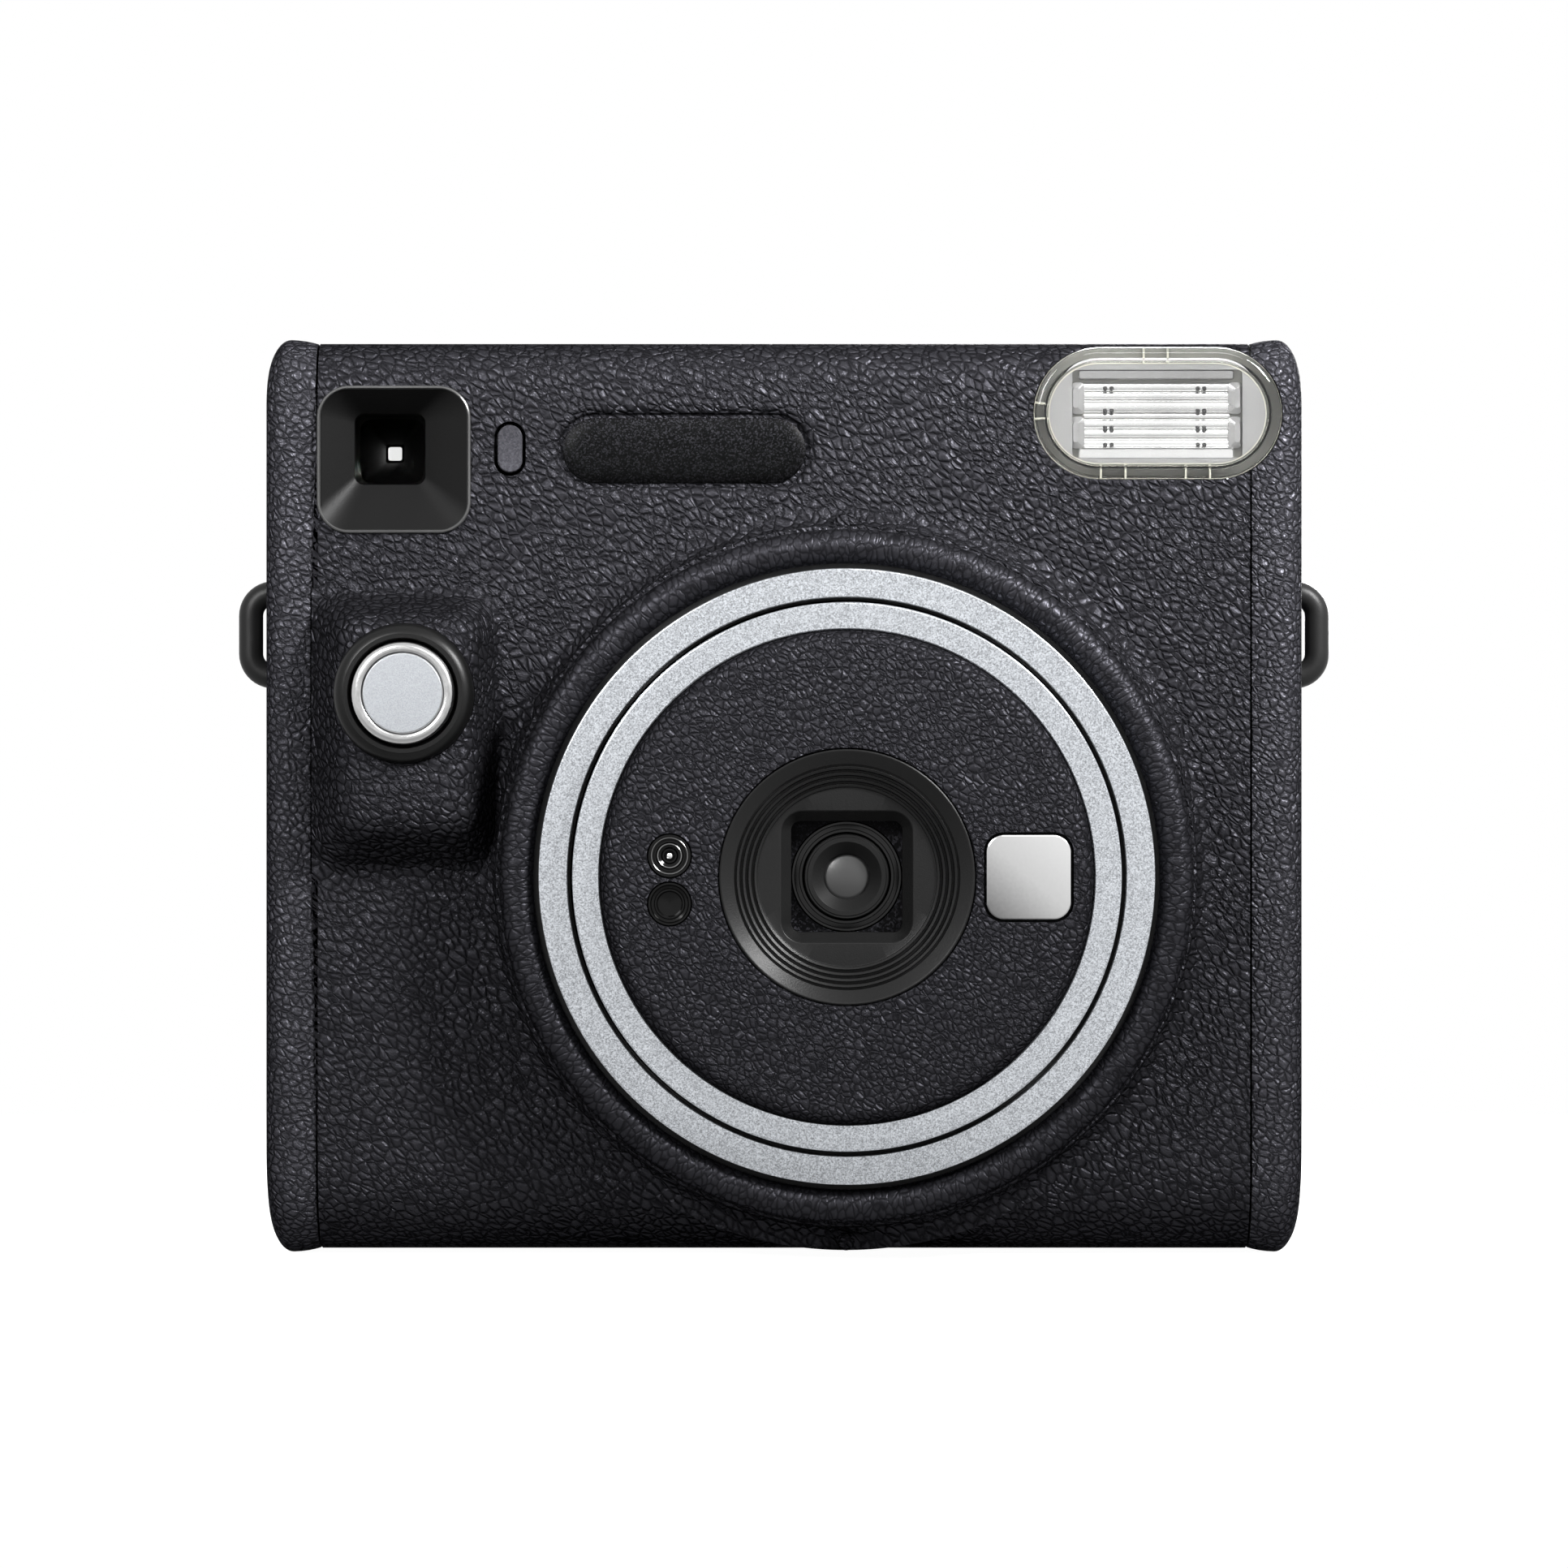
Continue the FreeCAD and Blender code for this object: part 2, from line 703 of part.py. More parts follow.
def strap_lug(sign):
    """A D-shaped loop whose two legs pass through the side cover."""
    low, high = lug_leg_heights()
    inner, outer = half_width - wall - 1.6, half_width + lug_reach - lug_bar_r
    corners = [(inner, low), (outer, low), (outer, high), (inner, high)]
    bend = lug_bend_r
    knee = bend * (1 - math.sqrt(0.5))

    def at(x, z):
        return FreeCAD.Vector(sign * x, lug_y, z)

    edges = [
        Part.makeLine(at(*corners[0]), at(outer - bend, low)),
        Part.Arc(at(outer - bend, low), at(outer - knee, low + knee), at(outer, low + bend)).toShape(),
        Part.makeLine(at(outer, low + bend), at(outer, high - bend)),
        Part.Arc(at(outer, high - bend), at(outer - knee, high - knee), at(outer - bend, high)).toShape(),
        Part.makeLine(at(outer - bend, high), at(*corners[3])),
    ]
    circle = Part.Wire(Part.makeCircle(lug_bar_r, at(*corners[0]), FreeCAD.Vector(1, 0, 0)))
    loop = Part.Wire(edges).makePipeShell([circle], True, True)
    heads = [
        rod_x(lug_y, z, lug_bar_r + 0.8, *sorted((sign * (inner - 1), sign * (half_width - wall))))
        for z in (low, high)
    ]
    return fuse([loop] + heads)


# ---- mode ring ----

def cam_groove():
    """A helical groove inside the ring's sleeve, which moves its pin and the barrel as the ring turns."""
    half = (cam_pin_r + move_gap) * 1.1
    pitch = barrel_travel * 360 / ring_angle
    floor_r = sleeve_r - cam_floor
    mean_r = (sleeve_inner_r + floor_r) / 2
    over = math.degrees((cam_pin_r + 2 * move_gap) / mean_r)
    helix = Part.makeHelix(pitch, pitch * (ring_angle + 2 * over) / 360, mean_r)
    corners = [(sleeve_inner_r - 1, -half), (floor_r, -half), (floor_r, half), (sleeve_inner_r - 1, half)]
    section = Part.makePolygon([FreeCAD.Vector(r, 0, v) for r, v in corners + corners[:1]])
    groove = Part.Wire(helix.Edges).makePipeShell([section], True, True)
    groove.rotate(FreeCAD.Vector(0, 0, 0), FreeCAD.Vector(1, 0, 0), 90)
    groove.translate(FreeCAD.Vector(lens_x, cam_pin_y + pitch * over / 360, lens_z))
    return turned(groove, over)


def cam_pin(at_angle, reach):
    """A radial pin at rest, from inside the barrel out to the given radius."""
    return turned(rod_x(cam_pin_y, lens_z, cam_pin_r, lens_x + barrel_r - barrel_wall, lens_x + reach),
                  at_angle)


def mode_ring():
    corners = [
        (sleeve_inner_r, ring_trim_back_y, 0),
        (ring_r - ring_width, ring_trim_back_y, 0),
        (ring_r - ring_width, ring_front_y, ring_edge_round),
        (ring_r, ring_front_y, ring_edge_round),
        (ring_r, ring_back_y, 0.5),
        (sleeve_r, ring_back_y, 0),
        (sleeve_r, sleeve_back_y, 0),
        (sleeve_inner_r, sleeve_back_y, 0),
    ]
    ring = lathe(corners)
    lug_y0 = inner_front_y + bayonet_back
    band = tube(sleeve_r - 0.5, sleeve_r + bayonet_reach, lug_y0, lug_y0 + bayonet_thickness)
    reach = 2 * (sleeve_r + bayonet_reach)
    half = math.tan(math.radians(bayonet_angle / 2)) * reach
    corners = ((0, 0), (reach, -half), (reach, half), (0, 0))
    points = [FreeCAD.Vector(lens_x + u, lug_y0, lens_z + v) for u, v in corners]
    lug = band.common(Part.Face(Part.makePolygon(points)).extrude(FreeCAD.Vector(0, bayonet_thickness, 0)))
    ring = fuse([ring] + [turned(lug, angle) for angle in BAYONET_ANGLES])
    return ring.cut([turned(cam_groove(), angle) for angle in CAM_ANGLES])


def mode_ring_trim():
    inner = ring_trim_r - ring_trim_width
    return lathe([
        (inner, ring_trim_front_y, 0.5),
        (ring_trim_r, ring_trim_front_y, 0.5),
        (ring_trim_r, ring_trim_back_y, 0),
        (inner, ring_trim_back_y, 0),
    ])


# ---- lens barrel ----

def barrel_guide():
    half = cam_pin_r + move_gap
    y0, y1 = cam_pin_y - barrel_travel - half, cam_pin_y + half
    corners = [(y0, lens_z - half), (y1, lens_z - half), (y1, lens_z + half), (y0, lens_z + half)]
    wire = outline([(u, v, half * 0.7) for u, v in corners],
                   lambda u, v: FreeCAD.Vector(lens_x + guide_inner_r - 2, u, v))
    slot = Part.Face(wire).extrude(FreeCAD.Vector(guide_wall + 4, 0, 0))
    body = turned(lathe([
        (guide_inner_r, guide_front_y, 0),
        (guide_outer_r, guide_front_y, 0),
        (guide_outer_r, guide_rear_y - guide_flange, 0),
        (guide_flange_r, guide_rear_y - guide_flange, 0),
        (guide_flange_r, guide_rear_y, 0),
        (guide_inner_r, guide_rear_y, 0),
    ]), 50)
    posts = [rod_y(lens_x + guide_post_reach, lens_z, guide_post_r, guide_rear_y - guide_flange / 2,
                   chassis_y)]
    posts += [turned(posts[0], angle) for angle in (90, 180, 270)]
    for shape in posts:
        body = body.fuse(shape)
    for angle in CAM_ANGLES:
        body = body.cut(turned(slot, angle))
    return body


def lens_barrel():
    body = lathe([
        (lens_bezel_r + fit_gap, face_back_y, 0),
        (barrel_r, face_back_y, 0),
        (barrel_r, barrel_back_y, 0),
        (barrel_r - 3 * barrel_wall, barrel_back_y, 0),
        (barrel_r - 3 * barrel_wall, barrel_back_y - barrel_plate, 0),
        (barrel_r - barrel_wall, barrel_back_y - barrel_plate, 0),
        (barrel_r - barrel_wall, plate_back_y, 0),
        (lens_bezel_r + fit_gap, plate_back_y, 0),
    ])
    return body.cut([cam_pin(angle, cam_pin_tip_r) for angle in CAM_ANGLES])


def cam_pins():
    return Part.makeCompound([cam_pin(angle, cam_pin_tip_r) for angle in CAM_ANGLES])


def barrel_trim():
    return lathe([
        (face_r + fit_gap, face_back_y - barrel_trim_depth, 0.3),
        (barrel_r, face_back_y - barrel_trim_depth, 0.4),
        (barrel_r, face_back_y, 0),
        (face_r + fit_gap, face_back_y, 0),
    ])


def mirror_pocket(gap, y0, y1):
    size = mirror_size + 2 * gap
    return plate(lens_x + mirror_x, lens_z, size, size, mirror_round + gap, y0, y1)


def barrel_face():
    disc = lathe([
        (lens_bezel_r + fit_gap, face_y, 0.4),
        (face_r, face_y, face_edge_round),
        (face_r, face_back_y, 0),
        (lens_bezel_r + fit_gap, face_back_y, 0),
    ])
    disc = disc.cut(mirror_pocket(fit_gap, face_y - 1, face_y + mirror_depth + 0.1))
    for z in (upper_sensor_z, lower_sensor_z):
        hole = rod_y(lens_x + sensor_x, lens_z + z, sensor_r + fit_gap, face_y - 1, face_back_y + 1)
        disc = disc.cut(hole)
    return disc


def selfie_mirror():
    return mirror_pocket(0, face_y + 0.1, face_y + mirror_depth + 0.1)


def upper_sensor_window():
    x, z = lens_x + sensor_x, lens_z + upper_sensor_z
    body = rod_y(x, z, sensor_r, face_y + 0.2, face_back_y)
    body = body.cut(rod_y(x, z, sensor_r - 0.6, face_y, face_y + 0.8))
    return body.cut(rod_y(x, z, 0.9, face_y, face_y + 1.6))


def lower_sensor_window():
    x, z = lens_x + sensor_x, lens_z + lower_sensor_z
    return rod_y(x, z, sensor_r, face_y + 0.3, face_back_y)


def lens_bezel():
    stairs = [(lens_bezel_r - 0.5, face_y + 0.1, 0), (cone_r, face_y + cone_depth, 0)]
    r, y = cone_r, face_y + cone_depth
    for _ in range(step_count):
        stairs.append((r, y + step_depth, 0))
        r, y = r - step_width, y + step_depth
        stairs.append((r, y, 0))
    stairs.append((0, y, 0))
    flat_y = y
    corners = [(lens_bezel_r, face_y + 0.1, 0)] + stairs + [
        (0, housing_front_y, 0),
        (bezel_tube_r, housing_front_y, 0),
        (bezel_tube_r, bezel_back_y, 0),
        (bezel_flange_r, bezel_back_y, 0),
        (bezel_flange_r, plate_back_y, 0),
        (lens_bezel_r, plate_back_y, 0),
    ]
    body = lathe(corners)
    well = plate(lens_x, lens_z, well_size, well_size, well_round, flat_y - 1, housing_front_y + 1)
    grown = well_size + 2 * well_chamfer
    chamfer = loft(rounded_wire(lens_x, lens_z, grown, grown, well_round + well_chamfer, flat_y),
                   rounded_wire(lens_x, lens_z, well_size, well_size, well_round, flat_y + well_chamfer))
    return body.cut(well).cut(chamfer)


def lens_cell():
    front = housing_front_y - cell_flange - cell_nose_depth
    seat = front + cell_cone_depth
    return lathe([
        (cell_cone_r, front, 0),
        (cell_nose_r, front, 0.3),
        (cell_nose_r, front + cell_nose_depth, 0),
        (cell_flange_r, front + cell_nose_depth, 0),
        (cell_flange_r, housing_front_y, 0),
        (aperture_r, housing_front_y, 0),
        (aperture_r, seat + lens_thickness + 0.1, 0),
        (front_lens_r + fit_gap / 2, seat + lens_thickness + 0.1, 0),
        (front_lens_r + fit_gap / 2, seat, 0),
        (front_lens_r - 1.1, seat, 0),
    ])


def lens_element(r, front):
    """A biconvex element whose front pole is at y = front."""
    back = front + lens_thickness
    disc = rod_y(lens_x, lens_z, r, front - 1, back + 1)
    first = Part.makeSphere(lens_curve_r, FreeCAD.Vector(lens_x, front + lens_curve_r, lens_z))
    second = Part.makeSphere(lens_curve_r, FreeCAD.Vector(lens_x, back - lens_curve_r, lens_z))
    return disc.common(first).common(second)


def front_lens():
    return lens_element(front_lens_r,
                        housing_front_y - cell_flange - cell_nose_depth + cell_cone_depth + 0.05)


def rear_lens():
    return lens_element(rear_lens_r, housing_back_y + 0.4)


def shutter_housing():
    disc = rod_y(lens_x, lens_z, housing_r, housing_front_y, housing_back_y)
    cavity = rod_y(lens_x, lens_z, housing_r - housing_wall, housing_front_y + housing_wall,
                   housing_back_y - housing_wall)
    rear = rod_y(lens_x, lens_z, rear_lens_r + rear_seat_wall, housing_back_y,
                 housing_back_y + rear_seat_length)
    pin = rod_y(lens_x - blade_pivot_reach, lens_z, blade_pin_r, housing_front_y + 0.5,
                housing_back_y - 0.5)
    body = fuse([disc.cut(cavity), rear, pin])
    body = body.cut(rod_y(lens_x, lens_z, aperture_r, housing_front_y - 1, housing_back_y + 1))
    return body.cut(rod_y(lens_x, lens_z, rear_lens_r + fit_gap / 2, housing_back_y + 0.2,
                          housing_back_y + 9))


def shutter_blade():
    middle = (housing_front_y + housing_back_y) / 2
    y0, y1 = middle - blade_thickness / 2, middle + blade_thickness / 2
    pivot_x = lens_x - blade_pivot_reach
    blade = fuse([
        rod_y(lens_x, lens_z, blade_tip_r, y0, y1),
        rod_y(pivot_x, lens_z, 2.2, y0, y1),
        box(pivot_x, lens_x, y0, y1, lens_z - 1.5, lens_z + 1.5),
    ])
    return blade.cut(rod_y(pivot_x, lens_z, blade_pin_r + run_gap, y0 - 1, y1 + 1))


# ---- shutter button ----

def shutter_bezel():
    inner = button_r + 0.2
    ring_y = grip_top_y - bezel_ring_stand
    return lathe([
        (inner, ring_y, 0.4),
        (bezel_ring_r, ring_y, 1.2),
        (bezel_ring_r, bezel_ring_back_y, 0),
        (bezel_sleeve_r, bezel_ring_back_y, 0),
        (bezel_sleeve_r, bezel_sleeve_back_y, 0),
        (0, bezel_sleeve_back_y, 0),
        (0, bezel_floor_y, 0),
        (inner, bezel_floor_y, 0),
    ], button_x, button_z)


def shutter_button():
    return lathe([
        (0, button_face_y + button_groove, 0),
        (button_disc_r, button_face_y + button_groove, 0),
        (button_disc_r, button_face_y, 0),
        (button_r, button_face_y, 0.8),
        (button_r, button_back_y, 0),
        (stem_r, button_back_y, 0),
        (stem_r, button_back_y + stem_length, 0),
        (0, button_back_y + stem_length, 0),
    ], button_x, button_z)


def shutter_spring():
    """A coil whose path is arcs, each through three points of the helix."""
    y0, y1 = button_back_y + spring_wire_r + 0.05, bezel_floor_y - spring_wire_r - 0.05
    count = 2 * SPRING_ARCS * spring_turns
    points = []
    for k in range(count + 1):
        angle = math.pi * k / SPRING_ARCS
        points.append(FreeCAD.Vector(button_x + spring_r * math.cos(angle), y0 + (y1 - y0) * k / count,
                                     button_z + spring_r * math.sin(angle)))
    arcs = [Part.Arc(*points[k:k + 3]).toShape() for k in range(0, count, 2)]
    circle = Part.Wire(Part.makeCircle(spring_wire_r, points[0], FreeCAD.Vector(0, 0, 1)))
    return Part.Wire(arcs).makePipeShell([circle], True, True)


def shutter_switch():
    half = switch_size / 2
    body = box(button_x - half, button_x + half, bezel_floor_y - switch_depth, bezel_floor_y,
               button_z - half, button_z + half)
    plunger = rod_y(button_x, button_z, 1.0, bezel_floor_y - switch_depth - 0.5, bezel_floor_y - 1)
    return fuse([body, plunger])


# ---- viewfinder, light sensor, badge ----

def viewfinder_bezel():
    y0 = front_y - finder_stand
    y1 = y0 + finder_depth
    flange = plate(finder_x, finder_z, finder_width, finder_height, finder_round, y0, y0 + finder_flange)
    nose = eye_size + 2 * tube_wall
    block = fuse([flange, plate(eye_x, eye_z, nose, nose, eye_round + 1, y0, y1)])
    funnel = loft(rounded_wire(finder_x, finder_z, finder_width - 2 * finder_rim,
                               finder_height - 2 * finder_rim,
                               finder_round - finder_rim / 2, y0),
                  rounded_wire(eye_x, eye_z, eye_size, eye_size, eye_round, y1))
    return block.cut(funnel)


def viewfinder_tube():
    y0, y1 = front_y - finder_stand + finder_depth, inner_rear_y - fit_gap
    outer = eye_size + 2 * tube_wall
    body = plate(eye_x, eye_z, outer, outer, eye_round + 1, y0, y1)
    return body.cut(plate(eye_x, eye_z, eye_size, eye_size, eye_round, y0 - 1, y1 + 1))


def viewfinder_lens():
    size = eye_size - 2 * fit_gap
    y0 = front_y - finder_stand + finder_depth + finder_lens_back
    return plate(eye_x, eye_z, size, size, eye_round, y0, y0 + finder_lens_depth)


def viewfinder_eyepiece():
    frame = plate(eye_x, eye_z, eyepiece_width, eyepiece_height, 2, inner_rear_y, rear_y + eyepiece_stand)
    frame = frame.cut(plate(eye_x, eye_z, eye_size + 1, eye_size + 1, eye_round, inner_rear_y + 1.5,
                            rear_y + 9))
    return frame.cut(plate(eye_x, eye_z, eye_size - 2, eye_size - 2, eye_round, inner_rear_y - 1, rear_y))


def light_sensor_window():
    return plate(light_x, light_z, light_width, light_height, light_width / 2 - 0.01,
                 front_y - light_stand, front_y - light_stand + light_depth)


def badge_plate():
    y1 = front_y + badge_recess
    return plate(badge_x, badge_z, badge_length, badge_height, badge_height / 2 - 0.01,
                 y1 - badge_thickness, y1)


# ---- flash ----

def flash_window():
    y0 = front_y - flash_stand
    y1 = y0 + flash_depth
    shell = plate(flash_x, flash_z, flash_length, flash_height, flash_height / 2 - 0.01, y0, y1)
    return shell.cut(plate(flash_x, flash_z, flash_length - 2 * flash_skin, flash_height - 2 * flash_skin,
                           flash_height / 2 - flash_skin - 0.01, y0 + flash_skin, y1 + 1))


def reflector_trough(inset, x0, x1):
    y0 = front_y - flash_stand + flash_skin + reflector_gap
    y1 = y0 + reflector_depth - inset
    half, back = reflector_height / 2 - inset, reflector_back_height / 2 - inset / 2
    corners = [(y0 - inset, flash_z - half), (y1, flash_z - back), (y1, flash_z + back),
               (y0 - inset, flash_z + half)]
    points = [FreeCAD.Vector(x0, y, z) for y, z in corners + corners[:1]]
    return Part.Face(Part.makePolygon(points)).extrude(FreeCAD.Vector(x1 - x0, 0, 0))


def flash_reflector():
    x0, x1 = flash_x - reflector_length / 2, flash_x + reflector_length / 2
    return reflector_trough(0, x0, x1).cut(reflector_trough(reflector_wall, x0 + reflector_wall,
                                                            x1 - reflector_wall))


def flash_tube():
    half = reflector_length / 2 - reflector_wall - fit_gap
    y = front_y - flash_stand + flash_skin + reflector_gap + flash_tube_depth
    glass = rod_x(y, flash_z, flash_tube_r, flash_x - half, flash_x + half)
    cap_starts = (flash_x - half, flash_x + half - tube_cap)
    caps = [rod_x(y, flash_z, flash_tube_r + 0.3, x, x + tube_cap) for x in cap_starts]
    return fuse([glass] + caps)


# ---- film chassis ----

def idler_centre():
    """Where the idler meshes with the motor pinion and the drive roller's gear, below and behind them."""
    near = gear_module * (pinion_teeth + idler_teeth) / 2
    far = gear_module * (roller_teeth + idler_teeth) / 2
    dy, dz = drive_roller_y - motor_y, roller_z - motor_z
    apart = math.hypot(dy, dz)
    along = (near ** 2 - far ** 2 + apart ** 2) / (2 * apart)
    aside = math.sqrt(near ** 2 - along ** 2)
    return motor_y + (along * dy + aside * dz) / apart, motor_z + (along * dz - aside * dy) / apart


def film_chassis():
    back_y = inner_rear_y - fit_gap
    x0, x1 = chassis_x0, chassis_x1
    bottom = chamber_bottom - chassis_wall
    walls = [
        box(x0, x0 + chassis_wall, chassis_y, back_y, bottom, chassis_top),
        box(x1 - chassis_wall, x1, chassis_y, back_y, bottom, chassis_top),
        box(x1 - chassis_wall, x1, motor_y - motor_r - 0.5, back_y, motor_z - motor_r - 1.5, chassis_top),
        box(x0, x0 + chassis_wall, drive_roller_y - roller_r - 1, back_y, chamber_top - 4, chassis_top),
        box(x0, x1, chassis_y, back_y, bottom, chamber_bottom),
        box(x0, x1, chassis_y, film_y, bottom, chamber_top - 0.3),
        box(x0, x1, film_y + 3.5, back_y, chamber_top, chamber_top + 1.2),
    ]
    iy, iz = idler_centre()
    stub = rod_x(iy, iz, shaft_r, x1 - 0.5, gear_x + gear_width + 0.4)
    pins = [rod_x(claw_y, z, claw_pin_r, x0 - claw_thickness - 0.8, x0 + 0.5) for z in claw_pin_heights()]
    frame = fuse(walls + [stub] + pins)
    half = image_size / 2
    cuts = [
        box(lens_x - half, lens_x + half, chassis_y - 1, film_y + 1, lens_z - half, lens_z + half),
        rod_x(drive_roller_y, roller_z, shaft_r + run_gap, x0 - 1, x1 + 1),
        rod_x(driven_roller_y, roller_z, shaft_r + run_gap, x0 - 1, x1 + 1),
        rod_x(motor_y, motor_z, motor_shaft_r + move_gap, x1 - chassis_wall - 1, x1 + 1),
        box(x0 - 1, x0 + chassis_wall + 1, film_y, film_y + 2.5, claw_bottom - move_gap,
            claw_bottom + 2 + claw_travel + move_gap),
    ]
    for shape in cuts:
        frame = frame.cut(shape)
    return frame


def square_wire(half, y):
    return Part.makePolygon([FreeCAD.Vector(lens_x + u * half, y, lens_z + v * half)
                             for u, v in ((-1, -1), (1, -1), (1, 1), (-1, 1), (-1, -1))])


def light_cone():
    def half_at(y):
        return image_size / 2 * (y - cone_focus_y) / (film_y - cone_focus_y)

    front, back = half_at(cone_front_y), half_at(chassis_y)
    outer = loft(square_wire(front + cone_wall, cone_front_y), square_wire(back + cone_wall, chassis_y))
    over = 1.0
    inner = loft(square_wire(half_at(cone_front_y - over), cone_front_y - over),
                 square_wire(half_at(chassis_y + over), chassis_y + over))
    return outer.cut(inner)


def roller(y):
    body = rod_x(y, roller_z, roller_r, lens_x - roller_length / 2, lens_x + roller_length / 2)
    shaft = rod_x(y, roller_z, shaft_r, chassis_x0 - 0.3, gear_x + gear_width + 0.2)
    return fuse([body, shaft])


def drive_roller():
    return roller(drive_roller_y)


def driven_roller():
    return roller(driven_roller_y)


def gear(teeth, y, z, bore_r, phase):
    """A spur gear about X; phase is the angle of one tooth, measured from +Y towards +Z."""
    pitch_r = gear_module * teeth / 2
    tip_r, root_r = pitch_r + 0.9 * gear_module, pitch_r - 1.25 * gear_module
    pitch = 2 * math.pi / teeth
    flank = [(root_r, -0.30), (pitch_r, -0.20), (tip_r, -0.11), (tip_r, 0.11), (pitch_r, 0.20),
             (root_r, 0.30)]
    points = []
    for tooth in range(teeth):
        for r, share in flank:
            angle = phase + (tooth + share) * pitch
            points.append(FreeCAD.Vector(gear_x, y + r * math.cos(angle), z + r * math.sin(angle)))
    face = Part.Face(Part.makePolygon(points + points[:1]))
    blank = face.extrude(FreeCAD.Vector(gear_width, 0, 0))
    return blank.cut(rod_x(y, z, bore_r, gear_x - 1, gear_x + gear_width + 1))


def meshed_phase(phase, teeth, other_teeth, heading):
    """The phase of a gear that lies in the given direction from a gear of known phase and meshes with it."""
    share = (heading - phase) / (2 * math.pi / teeth) % 1.0
    return heading + math.pi - (0.5 - share) * 2 * math.pi / other_teeth


def drive_roller_gear():
    return gear(roller_teeth, drive_roller_y, roller_z, shaft_r + 0.02, 0.0)


def driven_roller_gear():
    return gear(roller_teeth, driven_roller_y, roller_z, shaft_r + 0.02,
                meshed_phase(0.0, roller_teeth, roller_teeth, 0.0))


def idler_phase():
    iy, iz = idler_centre()
    heading = math.atan2(iz - roller_z, iy - drive_roller_y)
    return meshed_phase(0.0, roller_teeth, idler_teeth, heading)


def idler_gear():
    iy, iz = idler_centre()
    return gear(idler_teeth, iy, iz, shaft_r + run_gap, idler_phase())


def motor_pinion():
    iy, iz = idler_centre()
    heading = math.atan2(motor_z - iz, motor_y - iy)
    wheel = gear(pinion_teeth, motor_y, motor_z, motor_shaft_r - 0.3,
                 meshed_phase(idler_phase(), idler_teeth, pinion_teeth, heading))
    shaft = rod_x(motor_y, motor_z, motor_shaft_r, chassis_x1 - chassis_wall - 5, gear_x + gear_width)
    return fuse([wheel, shaft])


def motor():
    x1 = chassis_x1 - chassis_wall
    can = rod_x(motor_y, motor_z, motor_r, x1 - motor_length, x1)
    boss = rod_x(motor_y, motor_z, 2.5, x1 - motor_length - 1, x1 - motor_length)
    return fuse([can, boss]).cut(rod_x(motor_y, motor_z, motor_shaft_r + run_gap, x1 - 5.3, x1 + 1))


def claw_pin_heights():
    middle = (claw_bottom + claw_top) / 2 + claw_pin_rise
    return middle - claw_pin_spacing / 2, middle + claw_pin_spacing / 2


def pick_claw():
    x1 = chassis_x0 - move_gap
    strip = box(x1 - claw_thickness, x1, claw_y - claw_width / 2, claw_y + claw_width / 2, claw_bottom,
                claw_top)
    hook = box(x1 - claw_thickness, chamber_x0 + 0.8, film_y + move_gap, film_y + 2.2, claw_bottom,
               claw_bottom + 2)
    claw = fuse([strip, hook])
    half = claw_pin_r + move_gap
    for z in claw_pin_heights():
        slot = box(x1 - 9, x1 + 1, claw_y - half, claw_y + half, z - claw_travel - half, z + half)
        claw = claw.cut(slot)
    return claw


# ---- film door ----

def film_door():
    width, height = door_x1 - door_x0, door_z1 - door_z0
    panel = plate((door_x0 + door_x1) / 2, (door_z0 + door_z1) / 2, width, height, door_round, door_in_y,
                  door_out_y)
    rim = chamber_opening(-0.5, door_in_y - door_rim, door_in_y + 0.5)
    rim = rim.cut(chamber_opening(-0.5 - door_rim_wall, door_in_y - door_rim - 1, door_in_y + 1))
    pieces = [panel, rim]
    for knuckle in door_knuckles(door_knuckle_r):
        low, high = knuckle.BoundBox.ZMin, knuckle.BoundBox.ZMax
        web = box(hinge_x, door_x0 + door_round, door_in_y, door_out_y, low, high)
        pieces += [knuckle, web]
    door = fuse(pieces)
    tooth = latch_tooth + move_gap
    tooth_reach = latch_tooth_width / 2 + move_gap
    cuts = [
        rod_z(hinge_x, hinge_y, door_pin_r + run_gap, door_z0, door_z1),
        box(lens_x - pack_window_width / 2, lens_x + pack_window_width / 2, door_in_y - 1, door_out_y + 1,
            lens_z - pack_window_height / 2, lens_z + pack_window_height / 2),
        box(door_x1 - tooth, door_x1 + 1, door_in_y - 1, door_out_y + 1,
            latch_z - tooth_reach - latch_travel, latch_z + tooth_reach),
    ]
    for shape in cuts:
        door = door.cut(shape)
    return door


def door_hinge_pin():
    low, high = door_z0 + door_knuckle_inset, door_z1 - door_knuckle_inset
    return rod_z(hinge_x, hinge_y, door_pin_r, low, high)


def pack_window():
    gap = fit_gap
    return box(lens_x - pack_window_width / 2 + gap, lens_x + pack_window_width / 2 - gap, door_in_y,
               door_out_y - 0.2, lens_z - pack_window_height / 2 + gap, lens_z + pack_window_height / 2 - gap)


def pack_springs():
    """Two bowed leaves that press the film pack forward, their ends fixed to the door."""
    leaves = []
    half = pack_spring_length / 2
    for x in (lens_x - pack_spring_x, lens_x + pack_spring_x):
        def at(y, z):
            return FreeCAD.Vector(x - pack_spring_width / 2, y, z)
        outer = [at(door_in_y, lens_z - half), at(door_in_y - pack_spring_rise, lens_z),
                 at(door_in_y, lens_z + half)]
        t = pack_spring_thickness
        inner = [at(door_in_y, lens_z + half - pack_spring_foot),
                 at(door_in_y - pack_spring_rise + t, lens_z),
                 at(door_in_y, lens_z - half + pack_spring_foot)]
        edges = [Part.Arc(*outer).toShape(), Part.makeLine(outer[2], inner[0]), Part.Arc(*inner).toShape(),
                 Part.makeLine(inner[2], outer[0])]
        leaves.append(Part.Face(Part.Wire(edges)).extrude(FreeCAD.Vector(pack_spring_width, 0, 0)))
    return Part.makeCompound(leaves)


